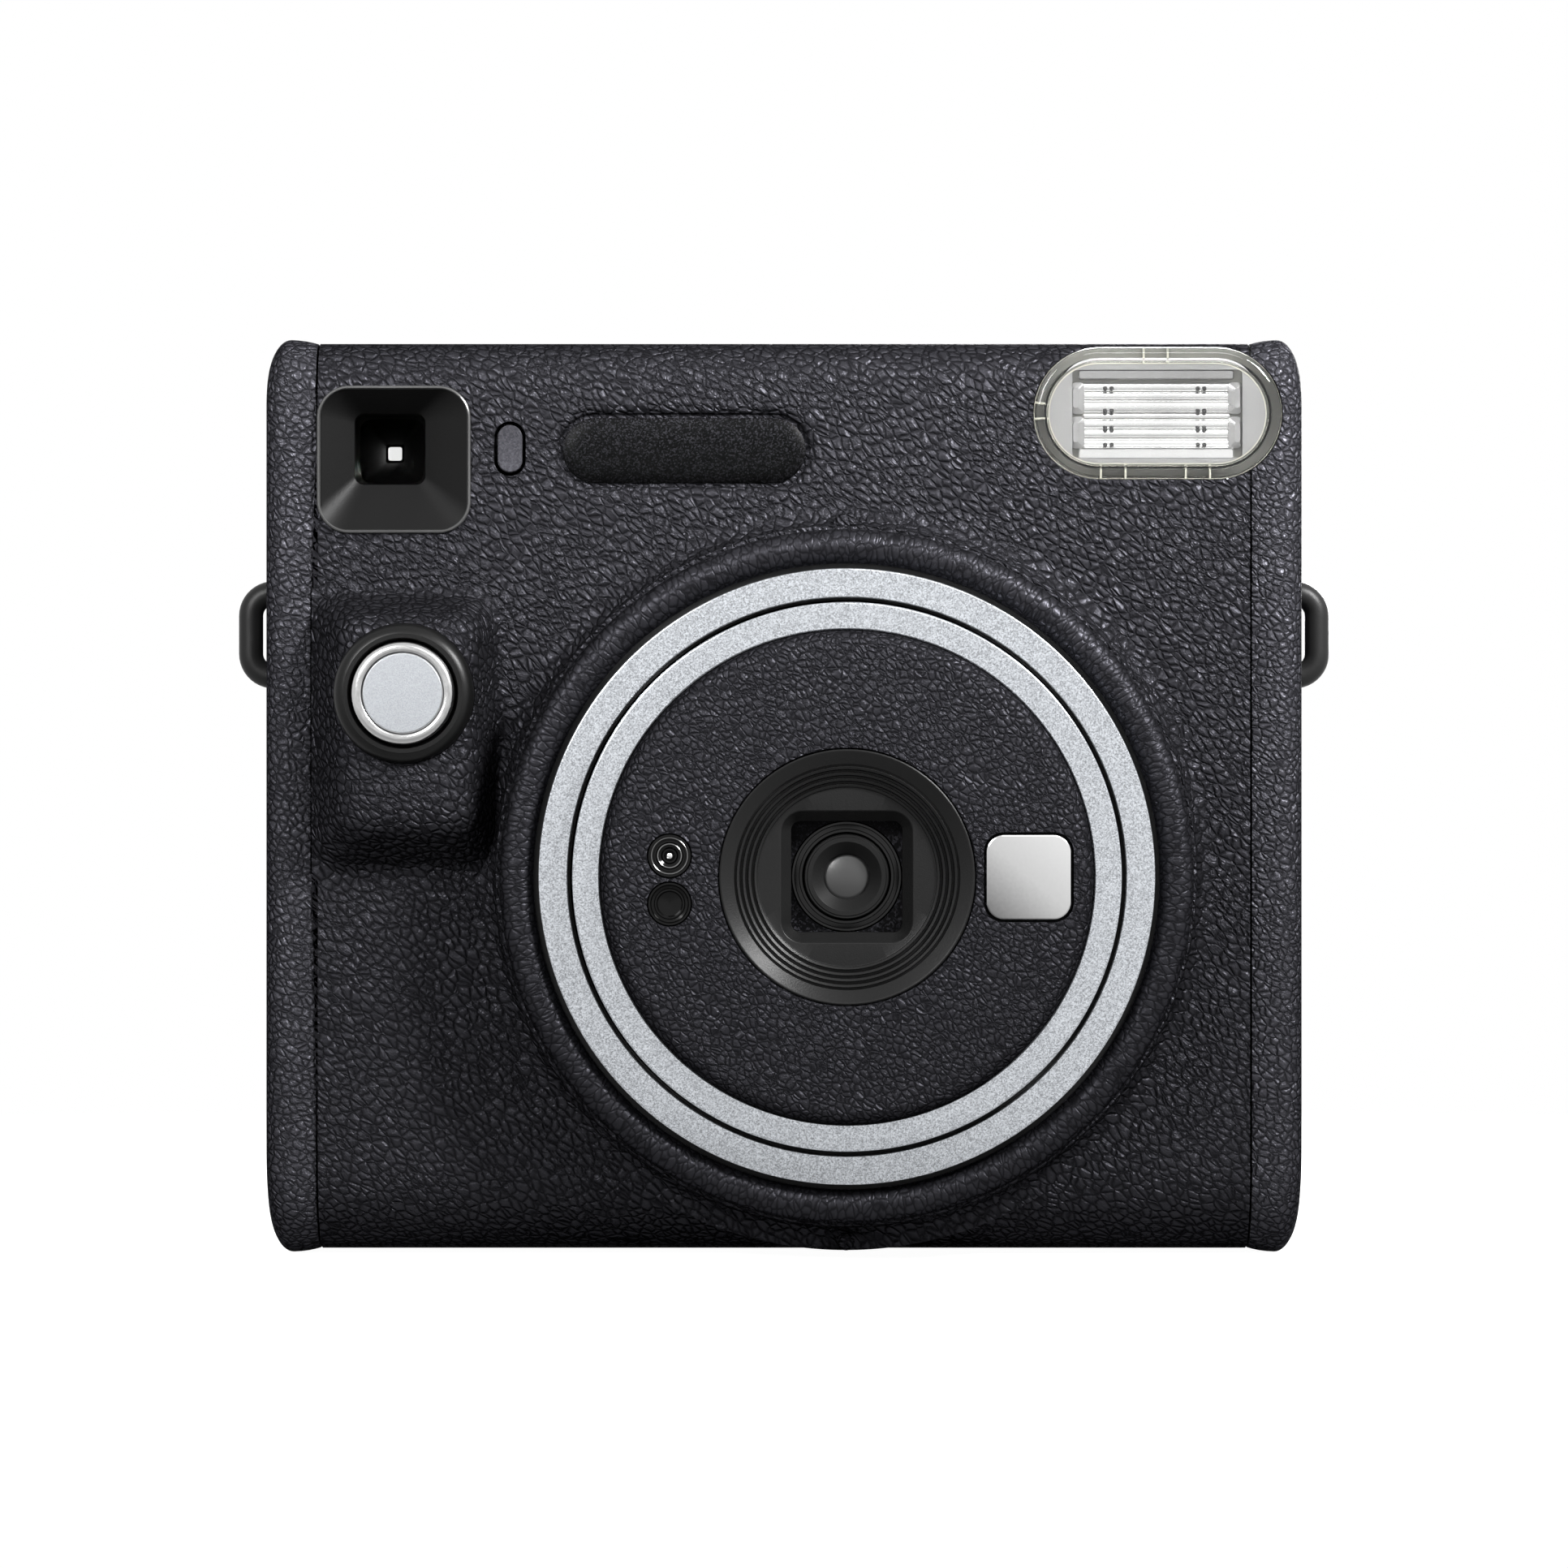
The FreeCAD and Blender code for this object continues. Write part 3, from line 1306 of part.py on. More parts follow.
def door_light_seal():
    return seal_ring(0, rear_y - seal_depth, rear_y + move_gap - 0.1)


def door_latch():
    def bar(width, y0, y1, length, x0=None):
        half = width / 2
        start = latch_x - half if x0 is None else x0
        return box(start, latch_x + half, y0, y1, latch_z - length / 2, latch_z + length / 2)

    y0 = rear_y + move_gap
    y1 = y0 + latch_thickness
    keeper_y1 = inner_rear_y - move_gap
    knob = bar(latch_width, y0, y1, latch_length)
    shank = bar(latch_shank_width, keeper_y1 - 1, y0 + 0.5, latch_shank_length)
    keeper = bar(latch_width, keeper_y1 - latch_keeper, keeper_y1, latch_keeper_length)
    tooth = bar(latch_width, y1 - latch_thickness / 2, y1, latch_tooth_width, door_x1 - latch_tooth)
    ridges = []
    for k in range(-2, 3):
        ridge = bar(latch_width, y1 - 0.3, y1 + latch_ridge, latch_ridge_width)
        ridge.translate(FreeCAD.Vector(0, 0, k * latch_ridge_pitch))
        ridges.append(ridge)
    return fuse([knob, shank, keeper, tooth] + ridges)


# ---- batteries ----

def battery_holder():
    x1 = battery_x + battery_r + battery_gap
    outer = box(pocket_x + 0.3, x1 + holder_wall, holder_y0 - holder_wall, holder_y1 + holder_wall,
                holder_z0 - holder_wall, holder_z1 + holder_wall)
    return outer.cut(box(-half_width, x1, holder_y0, holder_y1, holder_z0, holder_z1))


def batteries():
    cells = []
    for k in range(2):
        y = battery_y + k * battery_pitch
        can = rod_z(battery_x, y, battery_r, battery_z, battery_z + battery_length - 1)
        cells.append(fuse([can, rod_z(battery_x, y, 3.0, battery_z + 1, battery_z + battery_length)]))
    return Part.makeCompound(cells)


def battery_contacts():
    """A strip at each end of the cells, with a raised boss under each cell."""
    x0, x1 = battery_x - battery_r + 1, battery_x + battery_r
    strips = []
    for z, boss_z, top in ((holder_z0, battery_z, 1), (holder_z1 - 0.5, battery_z + battery_length, -1)):
        pieces = [box(x0, x1, holder_y0 + fit_gap, holder_y1 - fit_gap, z, z + 0.5)]
        for k in range(2):
            low, high = sorted((boss_z, z + 0.25))
            pieces.append(rod_z(battery_x, battery_y + k * battery_pitch, 2.4, low, high))
        strips.append(fuse(pieces))
    return Part.makeCompound(strips)


def battery_door():
    x0, x1 = -half_width, pocket_x
    panel = box(x0, x1, holder_y0, holder_y1, battery_hinge_z, battery_door_z1)
    edge = rod_y(battery_hinge_x, battery_hinge_z, wall / 2, holder_y0, holder_y1)
    door = fuse([panel, edge])
    middle_y = (holder_y0 + holder_y1) / 2
    for k in range(groove_count):
        z = battery_door_z1 - groove_drop - k * groove_pitch
        door = door.cut(box(x0 - 1, x0 + groove_depth, middle_y - groove_length / 2,
                            middle_y + groove_length / 2,
                            z, z + groove_width))
    return door.cut(rod_y(battery_hinge_x, battery_hinge_z, battery_pin_r + run_gap, holder_y0 - 1,
                          holder_y1 + 1))


def battery_hinge_pin():
    return rod_y(battery_hinge_x, battery_hinge_z, battery_pin_r, holder_y0 - 1.6, holder_y1 + 1.6)


# ---- frame counter and electronics ----

def counter_disc():
    y1 = inner_rear_y - 0.4
    y0 = y1 - counter_thickness
    disc = rod_y(counter_x, counter_z, counter_r, y0, y1)
    dogs = [turned(rod_y(counter_x + 3.4, counter_z, 0.5, y0 - 0.6, y0 + 0.1), k * 36, counter_x, counter_z)
            for k in range(10)]
    return fuse([disc] + dogs).cut(rod_y(counter_x, counter_z, 1.2 + run_gap, y0 - 2, y1 + 1))


def counter_window():
    window = counter_hole(0)
    return window.common(box(-half_width, half_width, inner_rear_y, rear_y - 0.2, 0, body_height))


def main_board():
    y0 = chassis_y + 1
    board = box(chassis_x1, chassis_x1 + board_width, y0, y0 + board_thickness, board_bottom, board_top)
    chips = [
        (2.5, 9.5, 10, 17),
        (3.0, 7.0, 24, 30),
        (8.0, 11.5, 24, 28),
        (2.5, 8.5, 38, 46),
        (9.0, 11.5, 46, 50),
    ]
    parts = [box(chassis_x1 + a, chassis_x1 + b, y0 + board_thickness - 0.2, y0 + board_thickness + 1.1,
                 board_bottom + c, board_bottom + d) for a, b, c, d in chips]
    return fuse([board] + parts)


def flash_capacitor():
    y = chassis_y + 1 - capacitor_r - 0.9
    can = rod_z(capacitor_x, y, capacitor_r, capacitor_bottom, capacitor_bottom + capacitor_length)
    leads = [box(capacitor_x + s * 2.5 - 0.3, capacitor_x + s * 2.5 + 0.3, y, chassis_y + 1,
                 capacitor_bottom - 2,
                 capacitor_bottom - 1.4) for s in (-1, 1)]
    legs = [box(capacitor_x + s * 2.5 - 0.3, capacitor_x + s * 2.5 + 0.3, y, y + 0.6, capacitor_bottom - 2,
                capacitor_bottom + 1) for s in (-1, 1)]
    return fuse([can] + leads + legs)


def strap_lugs():
    return Part.makeCompound([strap_lug(-1), strap_lug(1)])


PIECES = [
    front_cover, rear_cover, grip_side_cover, flash_side_cover, case_screws, strap_lugs, mode_ring,
    mode_ring_trim, barrel_guide, lens_barrel, cam_pins, barrel_trim, barrel_face, selfie_mirror,
    upper_sensor_window, lower_sensor_window, lens_bezel, lens_cell, front_lens, rear_lens, shutter_housing,
    shutter_blade, shutter_bezel, shutter_button, shutter_spring, shutter_switch, viewfinder_bezel,
    viewfinder_tube, viewfinder_lens, viewfinder_eyepiece, light_sensor_window, badge_plate,
    flash_window, flash_reflector, flash_tube, film_chassis, light_cone, drive_roller, drive_roller_gear,
    driven_roller, driven_roller_gear, idler_gear, motor_pinion, motor, pick_claw, film_door, door_hinge_pin,
    pack_window, pack_springs, door_light_seal, door_latch, battery_holder, batteries, battery_contacts,
    battery_door, battery_hinge_pin, counter_disc, counter_window, main_board, flash_capacitor,
]

os.makedirs("parts", exist_ok=True)
for piece in PIECES:
    shape = piece()
    solids = shape.Solids
    shape = solids[0] if len(solids) == 1 else Part.makeCompound(solids)
    shape.exportStep("parts/" + piece.__name__ + ".step")
    print(piece.__name__, len(solids), round(shape.Volume, 1), shape.isValid())
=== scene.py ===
import math

import bpy
import numpy as np
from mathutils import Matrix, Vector


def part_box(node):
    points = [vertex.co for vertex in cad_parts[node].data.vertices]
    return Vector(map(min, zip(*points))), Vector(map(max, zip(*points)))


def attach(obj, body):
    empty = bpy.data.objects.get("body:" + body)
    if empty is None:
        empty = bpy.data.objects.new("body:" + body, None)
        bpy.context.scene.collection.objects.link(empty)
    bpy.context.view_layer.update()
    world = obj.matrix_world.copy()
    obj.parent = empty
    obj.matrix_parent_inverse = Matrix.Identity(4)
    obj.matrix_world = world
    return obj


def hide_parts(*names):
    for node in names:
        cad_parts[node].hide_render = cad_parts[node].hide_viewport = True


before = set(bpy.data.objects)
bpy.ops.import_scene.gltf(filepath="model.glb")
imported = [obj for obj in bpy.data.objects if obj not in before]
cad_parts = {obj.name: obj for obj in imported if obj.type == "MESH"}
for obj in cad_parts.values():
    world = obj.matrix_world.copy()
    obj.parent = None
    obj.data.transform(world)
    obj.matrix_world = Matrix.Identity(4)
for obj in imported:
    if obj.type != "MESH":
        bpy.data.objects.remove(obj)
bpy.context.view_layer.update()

# An instant camera. Lengths in this script are millimetres until a mesh is made, and its places come from the
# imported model: X to the right as the lens side is seen, Z up, the lens looks along -Y.

MM = 0.001


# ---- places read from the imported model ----

def span(node):
    """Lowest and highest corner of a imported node, in millimetres."""
    low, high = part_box(node)
    return np.array(low) / MM, np.array(high) / MM


def middle(node):
    low, high = span(node)
    return (low + high) / 2


def half_size(node):
    low, high = span(node)
    return (high - low) / 2


def depths(node):
    """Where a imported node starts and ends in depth."""
    low, high = span(node)
    return low[1], high[1]


lens_x, _, lens_z = middle("barrel_trim")
front_low, front_high = span("front_cover")
side_low, side_high = span("flash_side_cover")
ring_front, ring_back = depths("mode_ring")

SEAM_GAP = 0.28
COVER_X = 60.2                  # half the width of the front cover
SIDE_X = COVER_X + SEAM_GAP     # where a side cover starts
CASE_X = side_high[0]
CASE_TOP = front_high[2]
CASE_BOTTOM = front_low[2]
PART_Y = front_high[1]          # where the front cover ends
BACK_Y = side_high[1]
SIDE_FRONT_Y = side_low[1]
SIDE_STAND = 0.2                # the side covers stand this much ahead of the front cover
FRONT_Y = SIDE_FRONT_Y + SIDE_STAND
TOP_ROUND = 6.0
BOTTOM_ROUND = 11.0
REAR_ROUND = 7.0
WALL = 1.6


# ---- meshes ----

def signed_volume(points, faces):
    """Positive where the faces of a closed mesh look outward."""
    total = 0.0
    for face in faces:
        first = points[face[0]]
        for a, b in zip(face[1:], face[2:]):
            total += first @ np.cross(points[a], points[b])
    return total / 6


def new_object(name, points, faces, sharp=35.0):
    """A mesh object from points in millimetres, smooth apart from edges sharper than the given angle."""
    points = np.asarray(points, float)
    if signed_volume(points - points[0], faces) < 0:
        faces = [tuple(reversed(face)) for face in faces]
    mesh = bpy.data.meshes.new(name)
    mesh.from_pydata([tuple(p) for p in points * MM], [], [tuple(f) for f in faces])
    mesh.validate()
    mesh.shade_smooth()
    mesh.set_sharp_from_angle(angle=math.radians(sharp))
    made = bpy.data.objects.new(name, mesh)
    bpy.context.scene.collection.objects.link(made)
    return made


def apply_modifiers(piece, sharp=35.0):
    """Fixes a piece's modifiers into its mesh."""
    graph = bpy.context.evaluated_depsgraph_get()
    mesh = bpy.data.meshes.new_from_object(piece.evaluated_get(graph))
    piece.modifiers.clear()
    old = piece.data
    piece.data = mesh
    bpy.data.meshes.remove(old)
    mesh.shade_smooth()
    mesh.set_sharp_from_angle(angle=math.radians(sharp))


def cut(piece, *tools, sharp=35.0):
    """Takes closed tool pieces away from a closed piece and deletes them."""
    for tool in tools:
        step = piece.modifiers.new("cut", "BOOLEAN")
        step.operation = "DIFFERENCE"
        step.solver = "EXACT"
        step.object = tool
    apply_modifiers(piece, sharp)
    for tool in tools:
        bpy.data.objects.remove(tool)
    return piece


def loops(name, rings, sharp=35.0, wrap=False):
    """Joins rings of equally many points by quads. The end rings are closed by faces, or joined with wrap."""
    count = len(rings[0])
    faces = []
    for k in range(len(rings) if wrap else len(rings) - 1):
        a, b = k * count, (k + 1) % len(rings) * count
        for i in range(count):
            j = (i + 1) % count
            faces.append((a + i, a + j, b + j, b + i))
    if not wrap:
        faces.append(tuple(reversed(range(count))))
        faces.append(tuple(range((len(rings) - 1) * count, len(rings) * count)))
    return new_object(name, np.vstack(rings), faces, sharp)


def arc(u, v, r, start, end, count=6):
    """Points (u, v) along an arc, from start to end degrees."""
    angles = [math.radians(start + (end - start) * k / count) for k in range(count + 1)]
    return [(u + r * math.cos(a), v + r * math.sin(a)) for a in angles]


def rounded_rect(width, height, r, per_corner=10, per_side=6):
    """Points (u, v) round a rounded rectangle about the origin, counted the same way for every size."""
    w, h = width / 2, height / 2
    r = min(r, w - 1e-4, h - 1e-4)
    centres = ((w - r, h - r, 0), (r - w, h - r, 90), (r - w, r - h, 180), (w - r, r - h, 270))
    corners = [arc(u, v, r, start, start + 90, per_corner) for u, v, start in centres]
    outline = []
    for corner, after in zip(corners, corners[1:] + corners[:1]):
        outline += corner
        outline += [tuple(point) for point in np.linspace(corner[-1], after[0], per_side + 1)[1:-1]]
    return np.array(outline)


def rect_stack(name, x, z, stages, sharp=35.0, per_corner=10, wrap=False):
    """A solid from rounded rectangles, one per stage: (width, height, r, y), then its own x and z if any."""
    rings = []
    for width, height, r, y, *centre in stages:
        cx, cz = centre or (x, z)
        outline = rounded_rect(width, height, r, per_corner)
        rings.append(np.column_stack([outline[:, 0] + cx, np.full(len(outline), y), outline[:, 1] + cz]))
    return loops(name, rings, sharp, wrap)


def inset_stages(width, height, r, lines):
    """Stages for a stack from lines (inset, y), each drawn in from the full size."""
    return [(width - 2 * inset, height - 2 * inset, r - inset, y) for inset, y in lines]


def ahead(front, *points):
    """Moves profile points (radius, depth) to their place behind a piece's front."""
    return [(r, front + y) for r, y in points]


def lathe(name, profile, x=lens_x, z=lens_z, segments=256):
    """Turns a closed (radius, y) profile about the Y line through (x, z)."""
    rings = []
    for k in range(segments):
        angle = 2 * math.pi * k / segments
        c, s = math.cos(angle), math.sin(angle)
        rings.append(np.array([(x + r * c, y, z + r * s) for r, y in profile]))
    return loops(name, rings, wrap=True)


def solid_disc(name, profile, x, z, segments):
    """Turns an open (radius, y) profile, whose two ends are closed by flat faces."""
    angles = np.arange(segments) * 2 * math.pi / segments
    rings = [np.column_stack([x + r * np.cos(angles), np.full(segments, y), z + r * np.sin(angles)])
             for r, y in profile]
    return loops(name, rings)


def block(name, low, high):
    (x0, y0, z0), (x1, y1, z1) = low, high
    points = [(x, y, z) for x in (x0, x1) for y in (y0, y1) for z in (z0, z1)]
    faces = [(0, 1, 3, 2), (4, 6, 7, 5), (0, 4, 5, 1), (2, 3, 7, 6), (0, 2, 6, 4), (1, 5, 7, 3)]
    return new_object(name, points, faces)


def fuse_objects(name, parts):
    """Joins mesh objects into one, keeping each part's materials."""
    first = parts[0]
    with bpy.context.temp_override(active_object=first, object=first, selected_objects=parts,
                                   selected_editable_objects=parts):
        bpy.ops.object.join()
    first.name = name
    first.data.name = name
    return first


# ---- materials ----

def principled(name, **values):
    """A node material, its Principled shader and its node maker; values name the shader's sockets."""
    material = bpy.data.materials.new(name)
    material.use_nodes = True
    shader = material.node_tree.nodes["Principled BSDF"]
    for key, value in values.items():
        shader.inputs[key.replace("_", " ")].default_value = value
    return material, shader, Nodes(material.node_tree)


def grey(level):
    return (level, level, level, 1.0)


def tinted(level, tint):
    return tuple(level * c for c in tint) + (1.0,)


class Nodes:
    """Short calls for making and joining shader nodes."""

    def __init__(self, tree):
        self.tree = tree

    def add(self, kind, inputs=None, **settings):
        node = self.tree.nodes.new("ShaderNode" + kind)
        for key, value in settings.items():
            setattr(node, key, value)
        for key, value in (inputs or {}).items():
            if isinstance(value, bpy.types.NodeSocket):
                self.tree.links.new(value, node.inputs[key])
            else:
                node.inputs[key].default_value = value
        return node

    def join(self, source, target):
        self.tree.links.new(source, target)

    def math(self, operation, a, b=None, c=None):
        inputs = {k: v for k, v in enumerate((a, b, c)) if v is not None}
        return self.add("Math", inputs, operation=operation).outputs[0]

    def vector(self, operation, a, b):
        return self.add("VectorMath", {0: a, 1: b}, operation=operation).outputs[0]

    def scaled(self, vector, by):
        return self.add("VectorMath", {0: vector, "Scale": by}, operation="SCALE").outputs[0]

    def split(self, vector):
        return self.add("SeparateXYZ", {0: vector}).outputs

    def spot(self):
        """The shaded point in the piece's own metres."""
        return self.add("TexCoord").outputs["Object"]

    def noise(self, spot, scale, detail, output="Fac"):
        return self.add("TexNoise", {"Vector": spot, "Scale": scale, "Detail": detail}).outputs[output]

    def edge_distance(self, spot, size):
        """How far a point is from the border of its cell, for cells of a size in millimetres."""
        inputs = {"Vector": spot, "Scale": 1.0 / (size * MM)}
        return self.add("TexVoronoi", inputs, feature="DISTANCE_TO_EDGE").outputs["Distance"]

    def flecks(self, spot, size):
        """Random values X, Y and Z, the same all over each fleck of a size in millimetres."""
        node = self.add("TexVoronoi", {"Vector": spot, "Scale": 1.0 / (size * MM)})
        return self.split(node.outputs["Color"])

    def seen_rays(self):
        """Whether a ray comes from the camera, and whether it shows a surface at all."""
        rays = self.add("LightPath").outputs
        bounced = self.math("MAXIMUM", rays["Is Glossy Ray"], rays["Is Transmission Ray"])
        return rays["Is Camera Ray"], self.math("MAXIMUM", rays["Is Camera Ray"], bounced)

    def ramp(self, value, stops):
        """A curve through (position, level or colour) stops."""
        node = self.add("ValToRGB", {"Fac": value})
        elements = node.color_ramp.elements
        while len(elements) < len(stops):
            elements.new(0.5)
        for element, (position, level) in zip(elements, stops):
            element.position = position
            element.color = level if isinstance(level, tuple) else grey(level)
        return node.outputs["Color"]

    def finish(self, shader, roughness, colour=None, height=None, depth=0.0, edge=0.0):
        """Feeds a shader. The height is a bump of a depth over edges rounded by a radius, in millimetres."""
        self.join(roughness, shader.inputs["Roughness"])
        if colour:
            self.join(colour, shader.inputs["Base Color"])
        if height:
            bump = self.add("Bump", {"Height": height, "Distance": depth * MM, "Strength": 1.0})
            self.join(bump.outputs["Normal"], shader.inputs["Normal"])
            if edge:
                bevel = self.add("Bevel", {"Radius": edge * MM}, samples=6)
                self.join(bevel.outputs["Normal"], bump.inputs["Normal"])


COOL = (0.98, 0.97, 1.12)          # the slightly blue black of the mouldings
SILVER = (0.955, 0.995, 1.05)      # the paint with metal flakes


def leather(name, cell=1.22, depth=0.23, slant=-42.0, squeeze=(0.78, 1.25), level=0.029, ring=None, edge=0.0):
    """Grained black leatherette: uneven cells in millimetres parted by creases, drawn out along a slant.
    With ring=(x, z, radius, share) the cells are drawn out across a ring instead."""
    material, shader, n = principled(name, Specular_IOR_Level=0.0, Metallic=0.6, Specular_Tint=grey(0.05))
    if ring:
        x, z, radius, share = ring
        parts = n.split(n.vector("SUBTRACT", n.spot(), (x * MM, 0, z * MM)))
        reach = n.math("SQRT", n.math("ADD", n.math("MULTIPLY", parts["X"], parts["X"]),
                                      n.math("MULTIPLY", parts["Z"], parts["Z"])))
        drawn = n.math("MULTIPLY_ADD", n.math("SUBTRACT", reach, radius * MM), share, radius * MM)
        scale = n.math("DIVIDE", drawn, reach)
        spot = n.add("CombineXYZ", {"X": n.math("MULTIPLY", parts["X"], scale),
                                    "Y": n.math("MULTIPLY", parts["Y"], share),
                                    "Z": n.math("MULTIPLY", parts["Z"], scale)}).outputs[0]
    else:
        turned = n.add("Mapping", {"Vector": n.spot(), "Rotation": (0, math.radians(slant), 0)}).outputs[0]
        spot = n.vector("MULTIPLY", turned, (squeeze[0], 1.0, squeeze[1]))
    bend = n.vector("SUBTRACT", n.noise(spot, 420.0 / cell, 2.0, "Color"), (0.5, 0.5, 0.5))
    spot = n.vector("ADD", spot, n.scaled(bend, 0.9 * cell * MM))
    crease = n.ramp(n.edge_distance(spot, cell), [(0.0, 0.0), (0.05, 0.14), (0.2, 0.76), (0.38, 1.0)])
    wrinkle = n.ramp(n.edge_distance(spot, cell / 2.15), [(0.0, 0.0), (0.15, 0.75), (0.35, 1.0)])
    patch = n.noise(spot, 160.0 / cell, 1.0)
    pores = n.noise(spot, 4200.0 / cell, 3.0)
    height = n.math("MULTIPLY_ADD", wrinkle, n.ramp(patch, [(0.35, 0.06), (0.65, 0.3)]), crease)
    height = n.math("MULTIPLY_ADD", pores, 0.06, height)
    # The creases are painted darker, down to 0.4 of the level: painted shade in the creases.
    stops = ((0.0, 0.4), (0.5, 0.9), (1.0, 1.05))
    tint = n.ramp(crease, [(at, tinted(level * share, COOL)) for at, share in stops])
    gloss = n.math("MULTIPLY_ADD", patch, 0.1, n.math("MULTIPLY_ADD", crease, -0.08, 0.36))
    n.finish(shader, gloss, tint, height, depth, edge)
    return material


def moulded(name, level, shine, grain=0.25, depth=0.012, edge=0.0, **values):
    """Moulded plastic or plain metal, a grey or a colour, with a fine texture in millimetres."""
    material, shader, n = principled(name, **values)
    fine = n.noise(n.spot(), 1000.0 / grain, 3.0)
    wide = n.noise(n.spot(), 90.0, 2.0)
    colour = level if isinstance(level, tuple) else (level, level, level)
    tone = n.ramp(wide, [(0.3, tinted(0.9, colour)), (0.7, tinted(1.08, colour))])
    n.finish(shader, n.math("MULTIPLY_ADD", fine, 0.12, shine - 0.06), tone, fine, depth, edge)
    return material


def sparkle(name, low, high, flake, depth, shine, metallic):
    """Bright paint with metal flakes of the given size in millimetres."""
    material, shader, n = principled(name, Metallic=metallic, Specular_IOR_Level=0.6)
    pick = n.flecks(n.spot(), flake)
    grainy = n.noise(n.spot(), 1000.0 / (2.2 * flake), 4.0)
    mixed = n.math("ADD", n.math("MULTIPLY", pick["X"], 0.45), n.math("MULTIPLY", grainy, 0.55))
    tone = n.ramp(mixed, [(0.25, tinted(low, SILVER)), (0.72, tinted(high, SILVER))])
    n.finish(shader, n.math("MULTIPLY_ADD", pick["Y"], 0.06, shine - 0.03), tone, pick["X"], depth)
    return material


def brushed(name, level, shine):
    """Metal with fine drawn lines."""
    material, shader, n = principled(name, Metallic=1.0)
    lines = n.noise(n.vector("MULTIPLY", n.spot(), (1.0, 40.0, 1.0)), 900.0, 3.0)
    tone = n.ramp(lines, [(0.3, level * 0.85), (0.7, level * 1.1)])
    n.finish(shader, n.math("MULTIPLY_ADD", lines, 0.16, shine - 0.08), tone, lines, 0.004)
    return material


def glass(name, tint, shine=0.02, ior=1.49, **values):
    """Clear moulded plastic or glass with a barely uneven surface."""
    material, shader, n = principled(name, Transmission_Weight=1.0, IOR=ior, Base_Color=tinted(1.0, tint),
                                     **values)
    waves = n.noise(n.spot(), 1000.0 / 6.0, 1.0)
    n.finish(shader, n.math("MULTIPLY_ADD", waves, 0.02, shine), height=waves, depth=0.0006)
    return material


def mirror_with_painted_reflection(name, x, z, reach, low, high, shine=0.12):
    """A silvered face with a painted reflection: its tone rises across it, from low at the bottom left to
    high at the top right.
    """
    material, shader, n = principled(name, Metallic=1.0)
    parts = n.split(n.spot())
    across = n.math("ADD", n.math("MULTIPLY", n.math("SUBTRACT", parts["X"], x * MM), 0.9 / (reach * MM)),
                    n.math("MULTIPLY", n.math("SUBTRACT", parts["Z"], z * MM), 1.05 / (reach * MM)))
    haze = n.noise(n.spot(), 2500.0, 2.0)
    tone = n.math("ADD", n.math("MULTIPLY_ADD", across, 0.5, 0.5), n.math("MULTIPLY_ADD", haze, 0.06, -0.03))
    tone = n.ramp(tone, [(0.0, low), (0.25, 0.36), (0.5, 0.62), (1.0, high)])
    n.finish(shader, n.math("MULTIPLY_ADD", haze, 0.05, shine - 0.025), tone)
    return material


def speckled(name, level, fleck, size, shine=0.38, rise=None):
    """Dark satin plate with fine lighter flecks; with rise=(z, half, share) its tone rises upward by that
    share, a painted gradient of light and shade.
    """
    material, shader, n = principled(name, Specular_IOR_Level=0.05)
    pick = n.flecks(n.spot(), size)["X"]
    stops = ((0.0, level), (0.6, level * 1.3), (1.0, fleck))
    tone = n.ramp(pick, [(at, tinted(share, COOL)) for at, share in stops])
    if rise:
        # Painted light and shade: the tone grows with height above z.
        z, half, share = rise
        up = n.math("SUBTRACT", n.split(n.spot())["Z"], z * MM)
        tone = n.scaled(tone, n.math("MULTIPLY_ADD", up, share / (half * MM), 1.0))
    n.finish(shader, n.math("MULTIPLY_ADD", pick, 0.14, shine - 0.07), tone, pick, 0.012)
    return material


front_leather = leather("front_leather")
# The side covers' leather is painted lighter than the front's, 0.052 against 0.029: painted light falling on
# the sides.
side_leather_painted_light = leather("side_leather_painted_light", level=0.052, cell=1.02, slant=-32.0, squeeze=(0.85, 1.15))
back_leather = leather("back_leather", edge=0.35)
door_leather = leather("door_leather", edge=0.3)
disc_leather = leather("disc_leather", cell=0.92, depth=0.18, squeeze=(0.9, 1.15))
ring_leather = leather("ring_leather", cell=0.85, depth=0.08, ring=(lens_x, lens_z, 42.2, 0.55))
satin_black = moulded("satin_black", 0.01, 0.42, grain=0.3, depth=0.012, Specular_IOR_Level=0.15)
satin_edged = moulded("satin_edged", 0.012, 0.4, grain=0.3, depth=0.012, edge=0.3, Specular_IOR_Level=0.2)
gloss_black = moulded("gloss_black", 0.004, 0.2, grain=2.0, depth=0.002, Specular_IOR_Level=0.35)
well_black = speckled("well_black", 0.003, 0.04, size=0.25, shine=0.45)
bezel_black = moulded("bezel_black", 0.009, 0.36, grain=0.2, depth=0.02, Specular_IOR_Level=0.2)
silver_ring = sparkle("silver_ring", 0.3, 0.77, flake=0.14, depth=0.002, shine=0.12, metallic=0.85)
button_face = sparkle("button_face", 0.3, 0.38, flake=0.1, depth=0.004, shine=0.42, metallic=0.6)
button_edge = brushed("button_edge", 0.55, 0.2)
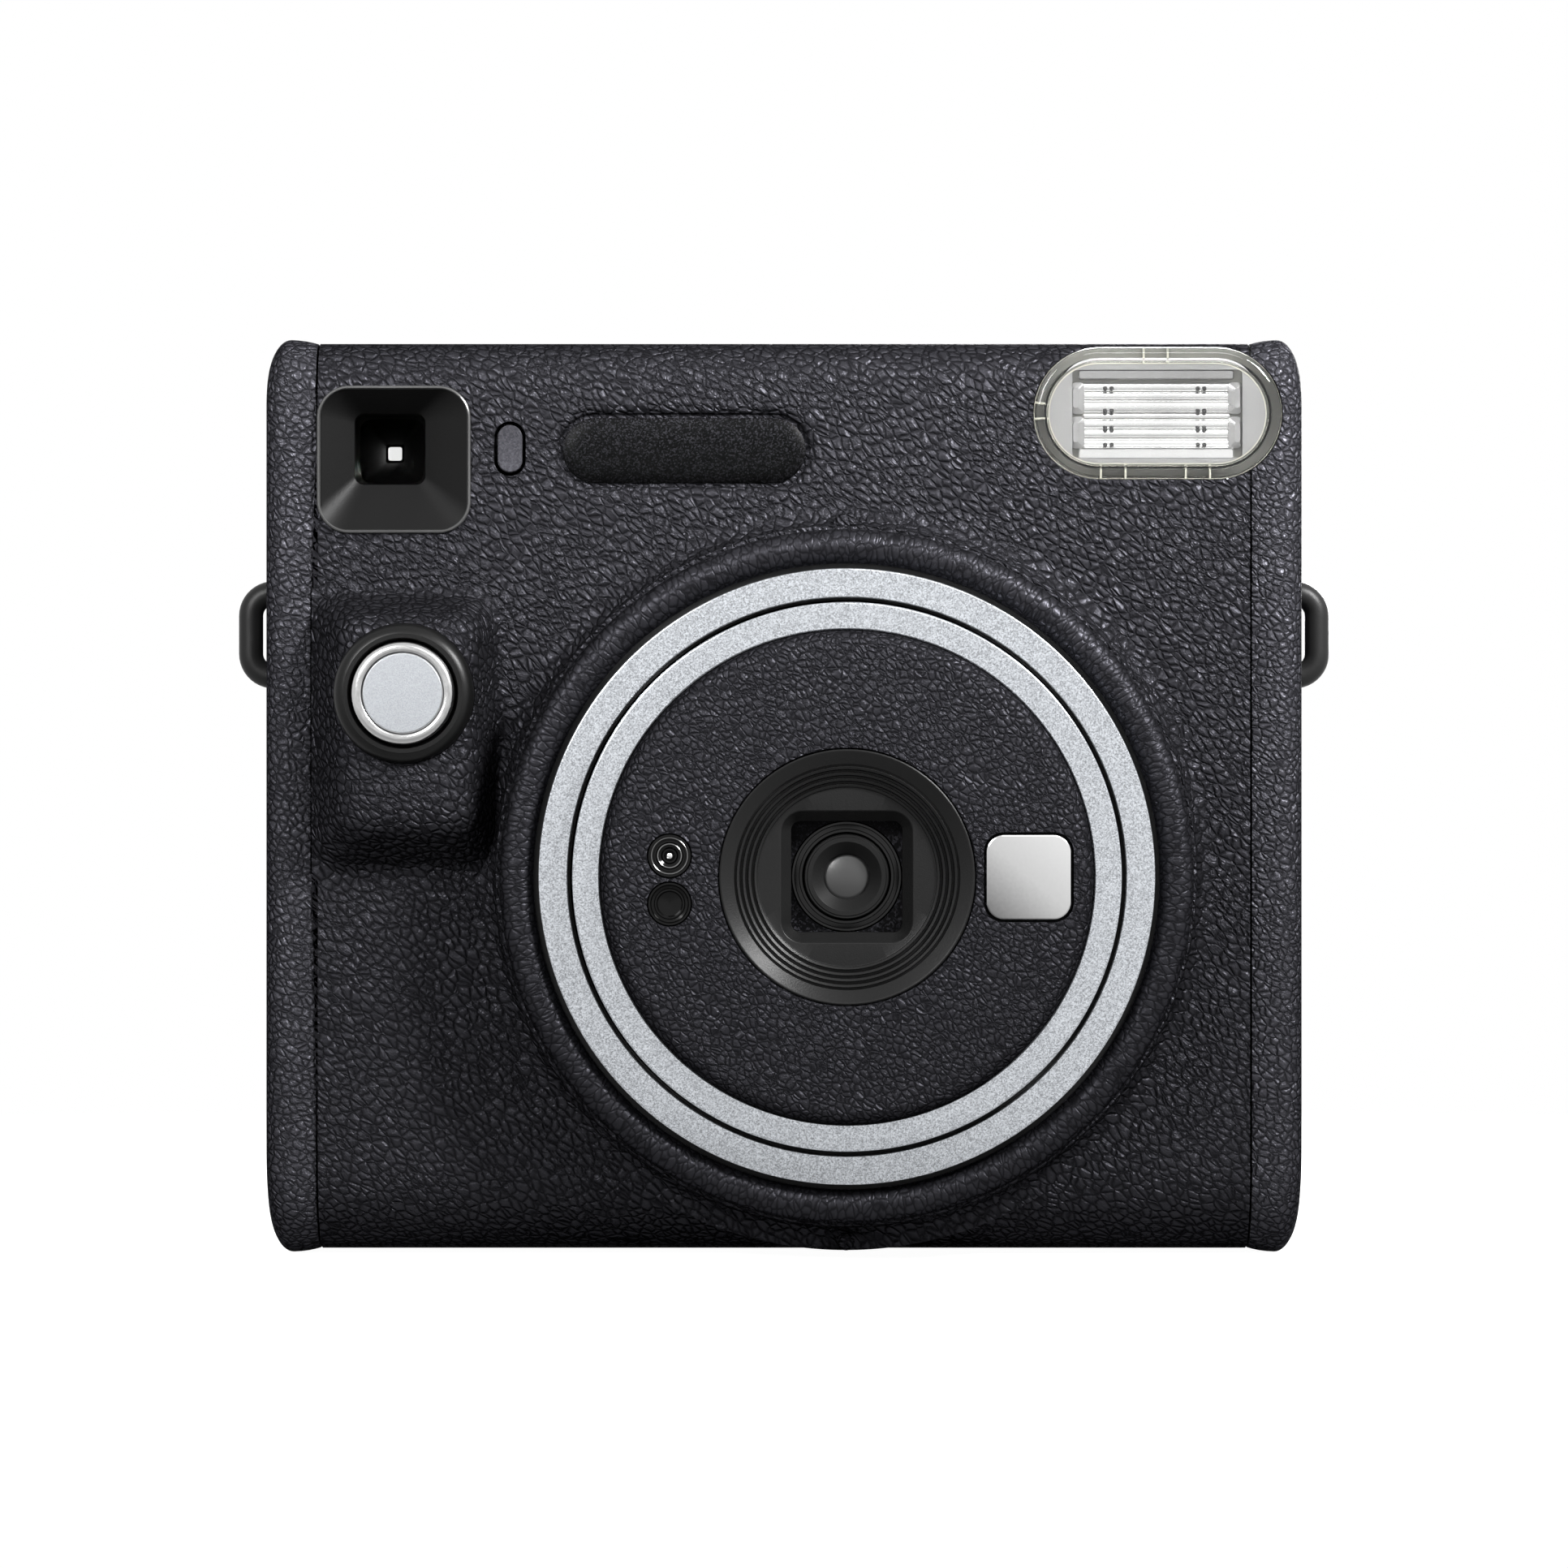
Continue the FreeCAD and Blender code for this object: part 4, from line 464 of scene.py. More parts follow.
# The badge's tone rises by 0.8 towards its top: a painted highlight on its upper half.
badge_dark = speckled("badge_dark", 0.001, 0.016, size=0.16, rise=(middle("badge_plate")[2], 5.0, 0.8))
clear_glass = glass("clear_glass", (0.97, 0.98, 0.98))
flash_clear = glass("flash_clear", (0.99, 0.99, 0.985), ior=1.45)
chrome = moulded("chrome", 0.86, 0.16, grain=1.5, depth=0.004, Metallic=1.0)
steel = brushed("steel", 0.52, 0.34)
screw_dark = brushed("screw_dark", 0.09, 0.34)
chassis_black = moulded("chassis_black", 0.03, 0.5, grain=0.4, depth=0.015, edge=0.15)
gear_white = moulded("gear_white", (0.64, 0.62, 0.56), 0.42, grain=0.5, depth=0.006)
foam_black = moulded("foam_black", 0.012, 0.95, grain=0.25, depth=0.12)
wrap_blue = moulded("wrap_blue", (0.05, 0.1, 0.19), 0.28, grain=1.0, depth=0.004, Metallic=0.6)
board_green = moulded("board_green", (0.012, 0.1, 0.045), 0.3, grain=0.8, depth=0.01)
sleeve_dark = moulded("sleeve_dark", (0.02, 0.02, 0.035), 0.25, grain=1.2, depth=0.006)
# The light window grows darker towards its top: painted shade.
smoked = speckled("smoked", 0.035, 0.06, size=0.2, shine=0.3,
                  rise=(middle("light_sensor_window")[2], 4.5, -0.3))
frosted = moulded("frosted", 0.34, 0.5, grain=0.35, depth=0.012)
chrome_satin = moulded("chrome_satin", 0.88, 0.2, grain=1.5, depth=0.004, Metallic=1.0)
strip_satin = moulded("strip_satin", 0.42, 0.22, grain=1.5, depth=0.006, Metallic=1.0)
fitting_grey = moulded("fitting_grey", 0.06, 0.3, grain=0.8, depth=0.006, Metallic=0.6)
tab_olive = moulded("tab_olive", (0.62, 0.61, 0.52), 0.3, grain=0.8, depth=0.004)
pocket_olive = moulded("pocket_olive", (0.2, 0.2, 0.18), 0.4, grain=0.8, depth=0.01)
cell_satin = moulded("cell_satin", 0.42, 0.3, grain=0.6, depth=0.02, Metallic=0.7)
rib_chrome = moulded("rib_chrome", 0.95, 0.14, grain=1.5, depth=0.003, Metallic=1.0)
coated_glass = moulded("coated_glass", 0.02, 0.3, grain=6.0, depth=0.0005, Specular_IOR_Level=0.9)
sensor_metal = moulded("sensor_metal", 0.2, 0.2, grain=1.5, depth=0.002, Metallic=1.0)
sensor_black = moulded("sensor_black", 0.002, 0.14, grain=1.5, depth=0.002, Specular_IOR_Level=0.2)
ring_satin = moulded("ring_satin", 0.005, 0.34, grain=0.25, depth=0.01, Specular_IOR_Level=0.2)
finder_black = moulded("finder_black", 0.005, 0.42, grain=0.3, depth=0.014, Specular_IOR_Level=0.13)
# The viewfinder rim's black is ten times lighter and glossier than the funnel's: partly a glossier finish,
# partly a painted highlight on the bevel.
rim_painted_highlight = moulded("rim_painted_highlight", 0.05, 0.24, grain=0.4, depth=0.004, Specular_IOR_Level=0.7)
tunnel_black = moulded("tunnel_black", 0.001, 0.9, grain=0.3, depth=0.02, Specular_IOR_Level=0.04)
# The finder lens is tinted grey, 0.8: painted shade that dims the view through the finder.
finder_glass = glass("finder_glass", (0.8, 0.81, 0.8), shine=0.01, Specular_Tint=grey(0.0))
# The mirror's tone rises from 0.12 to 0.85 towards the top right: a painted reflection.
mirror_silver = mirror_with_painted_reflection("mirror_silver", *middle("selfie_mirror")[[0, 2]], 10.9, 0.12, 0.85)


# ---- putting pieces in place ----

def place(piece, material, body, slot, *nodes):
    """Gives a piece its material, the body it rides on, and the nodes that it stands for; the slot is not
    used.
    """
    piece.data.materials.clear()
    piece.data.materials.append(material)
    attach(piece, body)
    if nodes:
        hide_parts(*nodes)
    shade = piece.modifiers.new("shade", "WEIGHTED_NORMAL")
    shade.keep_sharp = True


def on_front(piece):
    place(piece, front_leather, "camera", "grained_black", "front_cover")


def cylinder_tool(x, z, r, low_y, high_y, segments=128):
    return solid_disc("tool", [(r, low_y), (r, high_y)], x, z, segments)


def rect_tool(x, z, width, height, r, low_y, high_y):
    return rect_stack("tool", x, z, [(width, height, r, low_y), (width, height, r, high_y)])


# ---- the case ----

badge_x, _, badge_z = middle("badge_plate")
finder_x, _, finder_z = middle("viewfinder_bezel")
light_x, _, light_z = middle("light_sensor_window")
flash_x, _, flash_z = middle("flash_window")
button_x, _, button_z = middle("shutter_button")

AHEAD_Y = FRONT_Y - 9           # where tools start, well ahead of the cover
FLASH_LENGTH, _, FLASH_HEIGHT = 2 * half_size("flash_window")
FIT = 0.1
GRIP_X = -49.0
GRIP_Z = 67.9
GRIP_BASE = (24.4, 35.6, 4.7)   # width, height and corner radius
GRIP_TOP = (15.9, 26.2, 3.0)
GRIP_TOP_X = -48.15
GRIP_TOP_Z = 68.9
GRIP_STAND = 8.0
GRIP_SLOPE = 4.25               # from the foot to the crown
NOTCH = 0.8                     # how far the seam steps aside round the grip's foot
NOTCH_REACH = 18.2
NOTCH_EDGES = (GRIP_Z + NOTCH_REACH + NOTCH, GRIP_Z + NOTCH_REACH, GRIP_Z - NOTCH_REACH,
               GRIP_Z - NOTCH_REACH - NOTCH)
COLLAR_R = 45.2
COLLAR_Y = FRONT_Y - 2.5
FLARE_R = 48.3
HOLE_R = 41.6
BUTTON_R = 6.6
BEZEL_R = 9.0                   # the button's bezel: its ring, and its neck inside the grip
BEZEL_NECK = 7.6
SUPPORT = 0.4                   # from a rounded edge to the flat's first line


def case_section(inset):
    """Section (y, z) of the front cover's skin, from its parting edge at the top round to the one below."""
    top, bottom, front = CASE_TOP - inset, CASE_BOTTOM + inset, FRONT_Y + inset
    upper, lower = TOP_ROUND - inset, BOTTOM_ROUND - inset
    section = [(PART_Y, top), (front + upper + SUPPORT, top)]
    section += arc(front + upper, top - upper, upper, 90, 180, 12)
    section += [(front, z) for z in (top - upper - SUPPORT, *NOTCH_EDGES, bottom + lower + SUPPORT)]
    section += arc(front + lower, bottom + lower, lower, 180, 270, 18)
    section += [(front + lower + SUPPORT, bottom), (PART_Y, bottom)]
    return section


def beside_grip(outline, reach_y):
    """Which points (y, z) of an outline lie beside the grip's foot and ahead of a depth."""
    return (np.abs(outline[:, 1] - GRIP_Z) < NOTCH_REACH + 0.1) & (outline[:, 0] < reach_y)


def flash_tool():
    return rect_tool(flash_x, flash_z, FLASH_LENGTH + 2 * FIT, FLASH_HEIGHT + 2 * FIT, FLASH_HEIGHT / 2,
                     AHEAD_Y, FRONT_Y + 9)


def front_shell():
    outline = np.array(case_section(0) + case_section(WALL)[::-1])
    notched = beside_grip(outline, FRONT_Y + WALL + 0.1)
    rings = []
    for x in (-COVER_X, -COVER_X + 2, 0, COVER_X - 2, COVER_X):
        across = np.where(notched & (x == -COVER_X), x - NOTCH, x)
        rings.append(np.column_stack([across, outline]))
    shell = loops("front_shell", rings)
    cut(shell, cylinder_tool(lens_x, lens_z, FLARE_R - 2.0, AHEAD_Y, PART_Y + 1, 192),
        cylinder_tool(button_x, button_z, BEZEL_NECK + 0.3, AHEAD_Y, PART_Y),
        rect_tool(finder_x, finder_z, 19.0, 18.2, 3.9, AHEAD_Y, PART_Y),
        rect_tool(light_x, light_z, 4.1, 7.05, 2.04, AHEAD_Y, PART_Y),
        rect_tool(badge_x, badge_z, 36.2, 13.2, 6.55, AHEAD_Y, FRONT_Y + WALL + 1), flash_tool())
    on_front(shell)


def badge_rim():
    """The leather rolls over into the badge's recess."""
    width, height, roll, deep, count, back = 32.4, 9.4, 1.8, 0.85, 12, 2.0
    lines = [(-2.2, back), (-2.2, 0.06)]
    for k in range(count + 1):
        angle = math.radians(90 * k / count)
        lines.append((roll * (math.sin(angle) - 1), deep * (1 - math.cos(angle)) + 0.02))
    lines = [(inset, FRONT_Y + y) for inset, y in lines + [(0, back)]]
    rim = rect_stack("badge_rim", badge_x, badge_z, inset_stages(width, height, height / 2, lines),
                     per_corner=16, wrap=True)
    on_front(rect_stack("badge_floor", badge_x, badge_z, [(33, 10, 5, FRONT_Y + y) for y in (1.0, back)]))
    on_front(rim)


def rounded_path(corners, rounds, count):
    """A polyline (u, v) whose inner corners are rounded; rounds has a radius for each inner corner."""
    path = [corners[0]]
    for before, corner, after, r in zip(corners, corners[1:], corners[2:], rounds):
        corner = np.array(corner)
        back, onward = [(end - corner) / np.linalg.norm(end - corner) for end in (before, after)]
        half = math.acos(back @ onward) / 2
        centre = corner + (back + onward) / np.linalg.norm(back + onward) * r / math.sin(half)
        first, last = [math.degrees(math.atan2(*(corner + way * r / math.tan(half) - centre)[::-1]))
                       for way in (back, onward)]
        path += arc(*centre, r, first, first + (last - first + 180) % 360 - 180, count)
    return path + [corners[-1]]


def grip_rise():
    """The raised grip that carries the shutter button, on the front cover."""
    foot_round, crown_round, spread = 2.2, 4.6, 1.5
    profile = rounded_path([(-spread, 0.0), (0.0, 0.0), (GRIP_SLOPE, GRIP_STAND), (7.4, GRIP_STAND)],
                           [foot_round, crown_round], 12)
    stages = []
    for inset, height in [(-spread, -1.2)] + profile:
        t = inset / GRIP_SLOPE
        width, tall, r = (b + (e - b) * t for b, e in zip(GRIP_BASE, GRIP_TOP))
        x = GRIP_X + (GRIP_TOP_X - GRIP_X) * t
        left, right = max(x - width / 2, -COVER_X - NOTCH), x + width / 2
        stages.append((right - left, tall, r, FRONT_Y + 0.02 - height, (left + right) / 2,
                       GRIP_Z + (GRIP_TOP_Z - GRIP_Z) * t))
    rise = rect_stack("grip_rise", GRIP_X, GRIP_Z, stages, per_corner=16)
    seat = depths("shutter_bezel")[1] - 10.35
    wide, narrow = BEZEL_R + 0.05, BEZEL_NECK + 0.1
    bore = [(wide, FRONT_Y - 19), (wide, seat), (narrow, seat), (narrow, FRONT_Y + 3)]
    cut(rise, solid_disc("tool", bore, button_x, button_z, 128))
    on_front(rise)


def lens_collar():
    """The collar round the mode ring, and its hollow foot, which reaches past the rounded bottom."""
    back, count, wide, deep = ring_back, 14, 3.1, 2.3
    profile = [(HOLE_R, back), (HOLE_R, COLLAR_Y + 0.2), (HOLE_R + 0.2, COLLAR_Y), (COLLAR_R - 0.3, COLLAR_Y),
               (COLLAR_R - 0.09, COLLAR_Y + 0.06)]
    for k in range(count + 1):
        angle = math.radians(90 * k / count)
        profile.append((FLARE_R - wide * math.cos(angle), COLLAR_Y + 0.2 + deep * math.sin(angle)))
    profile += [(FLARE_R + 0.1, FRONT_Y + 0.04), (FLARE_R + 0.1, FRONT_Y + 1.2), (FLARE_R - 0.4, back)]
    parts = [lathe("lens_collar", profile, segments=384)]
    for z, r in ((lens_z + COLLAR_R, 1.6), (CASE_BOTTOM + 1.6, 1.1)):
        pip = [(r, FRONT_Y + 1), (r, COLLAR_Y + 0.35), (r - 0.3, COLLAR_Y + 0.05)]
        parts.append(solid_disc("pip", pip, lens_x, z, 40))
    on_front(fuse_objects("lens_collar", parts))


def side_outline(inset_y, inset_z):
    """Outline (y, z) of a side cover drawn in from its full size; the same count of points every time."""
    low_y, high_y = SIDE_FRONT_Y + inset_y, BACK_Y - inset_y
    low_z, high_z = side_low[2] + inset_z, side_high[2] - inset_z
    outline = []
    for y, z, full, start in ((high_y, high_z, REAR_ROUND, 0), (low_y, high_z, TOP_ROUND, 90),
                              (low_y, low_z, BOTTOM_ROUND, 180), (high_y, low_z, REAR_ROUND, 270)):
        r = max(full - inset_y, 0.6)
        outline += arc(y - r if y > 0 else y + r, z - r if z > GRIP_Z else z + r, r, start, start + 90, 12)
        if start == 90:
            outline += [(low_y, height) for height in NOTCH_EDGES]
    return np.array(outline)


def side_skin(name, sign):
    """A side cover: softly crowned at the seam, then rounded over into its flat end."""
    crest, tall, deep, count = 63.95, 6.3, 3.0, 14
    stages = [(SIDE_X, 0.55), (SIDE_X + 0.7, 0.36), (SIDE_X + 1.6, 0.17), (SIDE_X + 2.6, 0.05), (crest, 0.0)]
    outer = [(x, inset, inset) for x, inset in stages]
    for k in range(1, count + 1):
        angle = math.radians(90 * k / count)
        fall = 1 - math.cos(angle)
        outer.append((crest + (CASE_X - crest) * math.sin(angle), deep * fall, tall * fall))
    inner = [(min(x, CASE_X - WALL), dy + WALL, dz + WALL) for x, dy, dz in outer]
    rings = []
    for x, dy, dz in inner[::-1] + outer:
        outline = side_outline(dy, dz)
        notched = beside_grip(outline, FRONT_Y + 3) & (x == SIDE_X and sign < 0)
        rings.append(np.column_stack([sign * np.where(notched, x + NOTCH, x), outline]))
    return loops(name, rings)


def side_skins():
    flash_side = side_skin("flash_side_skin", 1)
    cut(flash_side, flash_tool())
    place(flash_side, side_leather_painted_light, "camera", "grained_black", "flash_side_cover")
    grip_side = side_skin("grip_side_skin", -1)
    gap = 0.3
    door_low, door_high = span("battery_door")
    cut(grip_side, block("tool", (-CASE_X - 1, door_low[1] - gap, door_low[2] - gap),
                         (-CASE_X + 3, door_high[1] + gap, door_high[2] + gap)))
    place(grip_side, side_leather_painted_light, "camera", "grained_black", "grip_side_cover")


# ---- mode ring and barrel ----

def torus_ring():
    """The leather ring with its fully rounded front."""
    front, back, outer, inner = ring_front, COLLAR_Y - 0.2, 44.4, 40.0
    r = (outer - inner) / 2 - 0.02
    profile = [(inner, back), (inner, front + r)] + arc((outer + inner) / 2, front + r, r, 180, 360, 24)
    profile += [(outer, front + r + 0.3), (outer, back - 0.5), (outer - 0.5, back)]
    ring = lathe("ring_leather_band", profile, segments=384)
    place(ring, ring_leather, "mode_ring", "black_leather", "mode_ring")


def ring_sleeve():
    """The dark tube that carries the leather ring and the trim."""
    inner, neck, outer = 37.7, 40.1, 41.2
    step, start = ring_front + 2.5, depths("mode_ring_trim")[1]
    end = start + 17.0
    profile = [(inner, start + 0.05), (neck, start + 0.05), (neck, step), (outer, step), (outer, end),
               (inner, end)]
    sleeve = lathe("ring_sleeve", profile)
    place(sleeve, satin_black, "mode_ring", "satin_black", "mode_ring")


def trim_band(name, node, inner, outer, body):
    """A silver ring with slightly rounded edges."""
    front, back = depths(node)
    r = 0.25
    profile = [(inner, back)] + arc(inner + r, front + r, r, 180, 270, 3)
    profile += arc(outer - r, front + r, r, 270, 360, 3) + [(outer, back)]
    place(lathe(name, profile, segments=384), silver_ring, body, "silver_ring", node)


def face_disc():
    """The leather disc on the barrel, with holes for the lens block, the sensors and the mirror."""
    front, back = depths("barrel_face")
    hole, outer, r = 16.3, span("barrel_face")[1][0] - lens_x, 1.8
    profile = [(hole, back), (hole, front + 0.35), (hole + 0.12, front + 0.1), (hole + 0.4, front)]
    profile += [(outer - r - 0.6, front)] + arc(outer - r, front + r, r, 270, 360, 12) + [(outer, back)]
    disc = lathe("face_disc", profile, segments=384)
    tools = []
    for node in ("upper_sensor_window", "lower_sensor_window"):
        x, _, z = middle(node)
        tools.append(cylinder_tool(x, z, half_size(node)[0] + 0.08, front - 1, back + 1, 96))
    mirror_x, _, mirror_z = middle("selfie_mirror")
    side = 2 * half_size("selfie_mirror")[0] + 0.5
    tools.append(rect_tool(mirror_x, mirror_z, side, side, 2.5, front - 1, back + 1))
    cut(disc, *tools)
    place(disc, disc_leather, "lens_barrel", "black_leather", "barrel_face")


def sensor_piece(name, node, material, profile, make=solid_disc, segments=96):
    """A turned piece of a sensor window, from points (radius, depth behind the window's front)."""
    x, _, z = middle(node)
    front, _ = depths(node)
    place(make(name, ahead(front, *profile), x, z, segments), material, "lens_barrel", "gloss_black", node)


def sensor_cup(node, insets, radii):
    """A sensor's cup: its outer part is given inward from the window's edge, its inner part by radii."""
    r, deep = half_size(node)[0], 2 * half_size(node)[1]
    profile = [(r, deep)] + [(r - inset, y) for inset, y in insets] + radii
    sensor_piece(node.replace("window", "cup"), node, sensor_black, profile)


def sensors():
    """The two round sensor windows: rings and a lens in the upper one, a dark tube in the lower one."""
    upper = "upper_sensor_window"
    sensor_cup(upper, [(0, 0.15), (0.12, 0), (0.4, 0), (0.5, 0.25), (0.8, 0.3), (0.85, 0.12), (1.05, 0.12),
                       (1.15, 0.5)], [(0.95, 0.9), (0.9, 0.7), (0.7, 0.7), (0.6, 1.2), (0.02, 1.25)])
    for r, y in ((2.3, 0.02), (1.5, 0.1)):
        ring = [(r - 0.07, y + 0.4), (r - 0.07, y + 0.04), (r, y), (r + 0.07, y + 0.04), (r + 0.07, y + 0.4)]
        sensor_piece("sensor_ring", upper, sensor_metal, ring, lathe)
    sensor_piece("sensor_bead", upper, chrome, [(0.55, 1.3), (0.55, 1.05), (0.42, 0.85), (0.2, 0.75)],
                 segments=48)
    sensor_cup("lower_sensor_window", [(0, 0.15), (0.12, 0), (0.35, 0), (0.5, 0.5), (0.9, 0.6), (0.95, 0.3),
                                       (1.1, 0.3), (1.3, 1.2)], [(0.02, 1.4)])


def mirror_face():
    x, _, z = middle("selfie_mirror")
    front, back = depths("selfie_mirror")
    side, r, bevel = 2 * half_size("selfie_mirror")[0], 2.3, 0.28
    lines = [(0, back), (0, front + bevel), (bevel / 2, front + 0.06), (bevel, front)]
    face = rect_stack("mirror_face", x, z, inset_stages(side, side, r, lines), per_corner=14, sharp=20)
    place(face, mirror_silver, "lens_barrel", "mirror_silver", "selfie_mirror")


# ---- lens block ----

WELL = 14.2                     # the side of the square well


def bezel_face():
    """The funnel round the lens: a cone, four fine grooves, a flat and a rounded square well."""
    front, back = depths("lens_bezel")
    cone_r, groove, pitch, fall = 14.35, 0.26, 0.74, 0.5
    profile = [(16.2, back)] + ahead(front, (16.2, 0.1), (16.05, 0), (15.85, 0.03), (cone_r, 1.0))
    r, y = profile[-1]
    for _ in range(4):
        profile += [(r - 0.02, y + 0.9), (r - groove, y + 0.9), (r - groove - 0.04, y + 0.12)]
        profile += [(r - groove - 0.12, y + 0.05), (r - pitch + 0.08, y + 0.22)]
        r -= pitch
        y += fall
        profile.append((r, y))
    flat = y + 0.05
    profile += [(r - 0.1, flat), (0.05, flat), (0.05, back)]
    bezel = lathe("bezel_face", profile)
    well_r, grown, sink = 1.2, 16.6, 1.5
    lines = [(-0.25, flat - 1.0), (-0.25, flat - 0.01), (-0.1, flat + 0.05), (0, flat + 0.2)]
    stages = inset_stages(grown, grown, well_r + 1.5, lines)
    stages += [(WELL, WELL, well_r, flat + sink), (WELL, WELL, well_r, back + 1)]
    cut(bezel, rect_stack("tool", lens_x, lens_z, stages, per_corner=12))
    place(bezel, bezel_black, "lens_barrel", "satin_black", "lens_bezel")


def lens_details():
    """A plate with a round hole at the bottom of the square well, and the glossy rings round the lens."""
    front, back = depths("lens_cell")
    plate_y = front + 2.0
    plate = rect_stack("well_plate", lens_x, lens_z, [(WELL, WELL, 1.0, y) for y in (plate_y, plate_y + 0.6)])
    cut(plate, cylinder_tool(lens_x, lens_z, 7.15, plate_y - 1, plate_y + 2, 96))
    place(plate, well_black, "lens_barrel", "satin_black")
    step = plate_y + 0.35
    profile = ahead(step, (5.45, 0.1), (5.7, -0.25), (6.0, -0.25), (6.1, 0), (6.6, 0.05), (6.7, -0.15),
                    (6.95, -0.15), (7.1, 0.1), (7.1, 0.7), (5.45, 0.7))
    place(lathe("cell_ring", profile, segments=160), gloss_black, "lens_barrel", "gloss_black")
    nose = ahead(front, (4.3, 0.12), (4.45, 0), (5.0, 0), (5.1, 0.1), (5.3, 0.1), (5.4, 0.22))
    nose += [(5.4, step + 0.2), (5.2, step + 0.2), (5.2, back), (3.3, back)]
    nose += ahead(front, (3.3, 3.95), (4.25, 3.95), (4.25, 1.5), (2.95, 1.5), (2.95, 1.35))
    cell = lathe("cell_nose", nose, segments=160)
    place(cell, satin_black, "lens_barrel", "satin_black", "lens_cell")
    pole, curve = depths("front_lens")[0], 10.0
    dome = [(4.2, pole + 2.2), (4.2, pole + 0.93)]
    for r in (3.8, 3.3, 2.8, 2.3, 1.8, 1.2, 0.6, 0.02):
        dome.append((r, pole + curve - math.sqrt(curve ** 2 - r ** 2)))
    element = solid_disc("front_element", dome, lens_x, lens_z, 128)
    place(element, coated_glass, "lens_barrel", "clear_glass", "front_lens")


# ---- shutter button ----

def button_pieces():
    front, back = depths("shutter_button")
    disc_r, groove, edge = 5.2, 0.25, 0.8
    skirt = back - 4.1              # clears the spring when the button is in
    profile = [(BUTTON_R, skirt)] + arc(BUTTON_R - edge, front + edge, edge, 0, -90, 6)
    profile += ahead(front, (disc_r + 0.3, 0), (disc_r + 0.12, 0.12), (disc_r + 0.08, 0.4))
    profile += ahead(front, (disc_r - 0.05, 1.0), (disc_r - 0.2, 1.0)) + [(disc_r - 0.2, skirt)]
    rim = lathe("button_rim", profile, button_x, button_z, 192)
    place(rim, button_edge, "shutter_button", "button_silver", "shutter_button")
    top = disc_r - 0.14
    disc = ahead(front, (top, 1.2), (top, groove - 0.06), (top - 0.12, groove - 0.14))
    face = solid_disc("button_disc", disc, button_x, button_z, 160)
    place(face, button_face, "shutter_button", "button_silver", "shutter_button")
    shaft = [(top - 0.2, front + 1.1), (top - 0.2, back - 2.4), (1.5, back - 2.4), (1.5, back)]
    stem = solid_disc("button_stem", shaft, button_x, button_z, 96)
    place(stem, satin_black, "shutter_button", "satin_black", "shutter_button")


def button_ring():
    """The bezel round the button: a rounded ring, and a neck with a floor that holds the spring."""
    front = depths("shutter_bezel")[0]
    bore, lip, edge, pin = BUTTON_R + 0.3, 0.75, 1.9, 2.0
    back = front + 3.9
    floor_y, end = back + 9.2, back + 10.4
    profile = [(bore, floor_y)] + arc(bore + lip, front + lip, lip, 180, 270, 6)
    profile += arc(BEZEL_R - edge, front + edge, edge, 270, 360, 9)
    profile += [(BEZEL_R, back), (BEZEL_NECK, back), (BEZEL_NECK, end), (pin, end), (pin, floor_y)]
    ring = lathe("button_ring", profile, button_x, button_z, 192)
    place(ring, ring_satin, "camera", "satin_black", "shutter_bezel")


# ---- viewfinder, light window, badge ----

def finder_funnel():
    """The viewfinder's bezel: a thin bevelled rim round a funnel with soft corners."""
    width, _, height = 2 * half_size("viewfinder_bezel")
    front, back = depths("viewfinder_bezel")
    r, wall, steps = 4.2, 1.6, 16
    start = front + 0.25
    mouth = np.array([width - 0.95, height - 0.95, r - 0.6, finder_x, finder_z])
    eye = np.array([9.2, 9.2, 1.2, -51.1, 104.5])

    def stage(share, y, grow=0.0, rounder=0.0):
        wide, tall, corner, x, z = mouth + (eye - mouth) * share
        return wide + grow, tall + grow, corner + rounder, y, x, z

    lines = [(0, 2.3), (0, 0.28), (0.1, 0.08), (0.25, 0), (0.3, 0), (0.4, 0.1)]
    stages = inset_stages(width, height, r, [(inset, front + y) for inset, y in lines])
    stages += [stage(k / steps, start + (back - start) * k / steps) for k in range(steps + 1)]
    stages += [stage(1, back + 0.1), stage(1, back + 0.1, wall, wall / 2),
               stage(2.05 / (back - start), front + 2.3, wall, wall)]
    funnel = rect_stack("finder_funnel", finder_x, finder_z, stages, per_corner=14, wrap=True, sharp=25)
    place(funnel, finder_black, "camera", "satin_black", "viewfinder_bezel")
    # The front rim faces get the lighter black, which carries a painted highlight on the bevel.
    funnel.data.materials.append(rim_painted_highlight)
    for face in funnel.data.polygons:
        if face.center.y < (front + 0.24) * MM:
            face.material_index = 1
    hollow_lens(eye[3], eye[4], eye[0] + 0.1, depths("viewfinder_lens")[0])


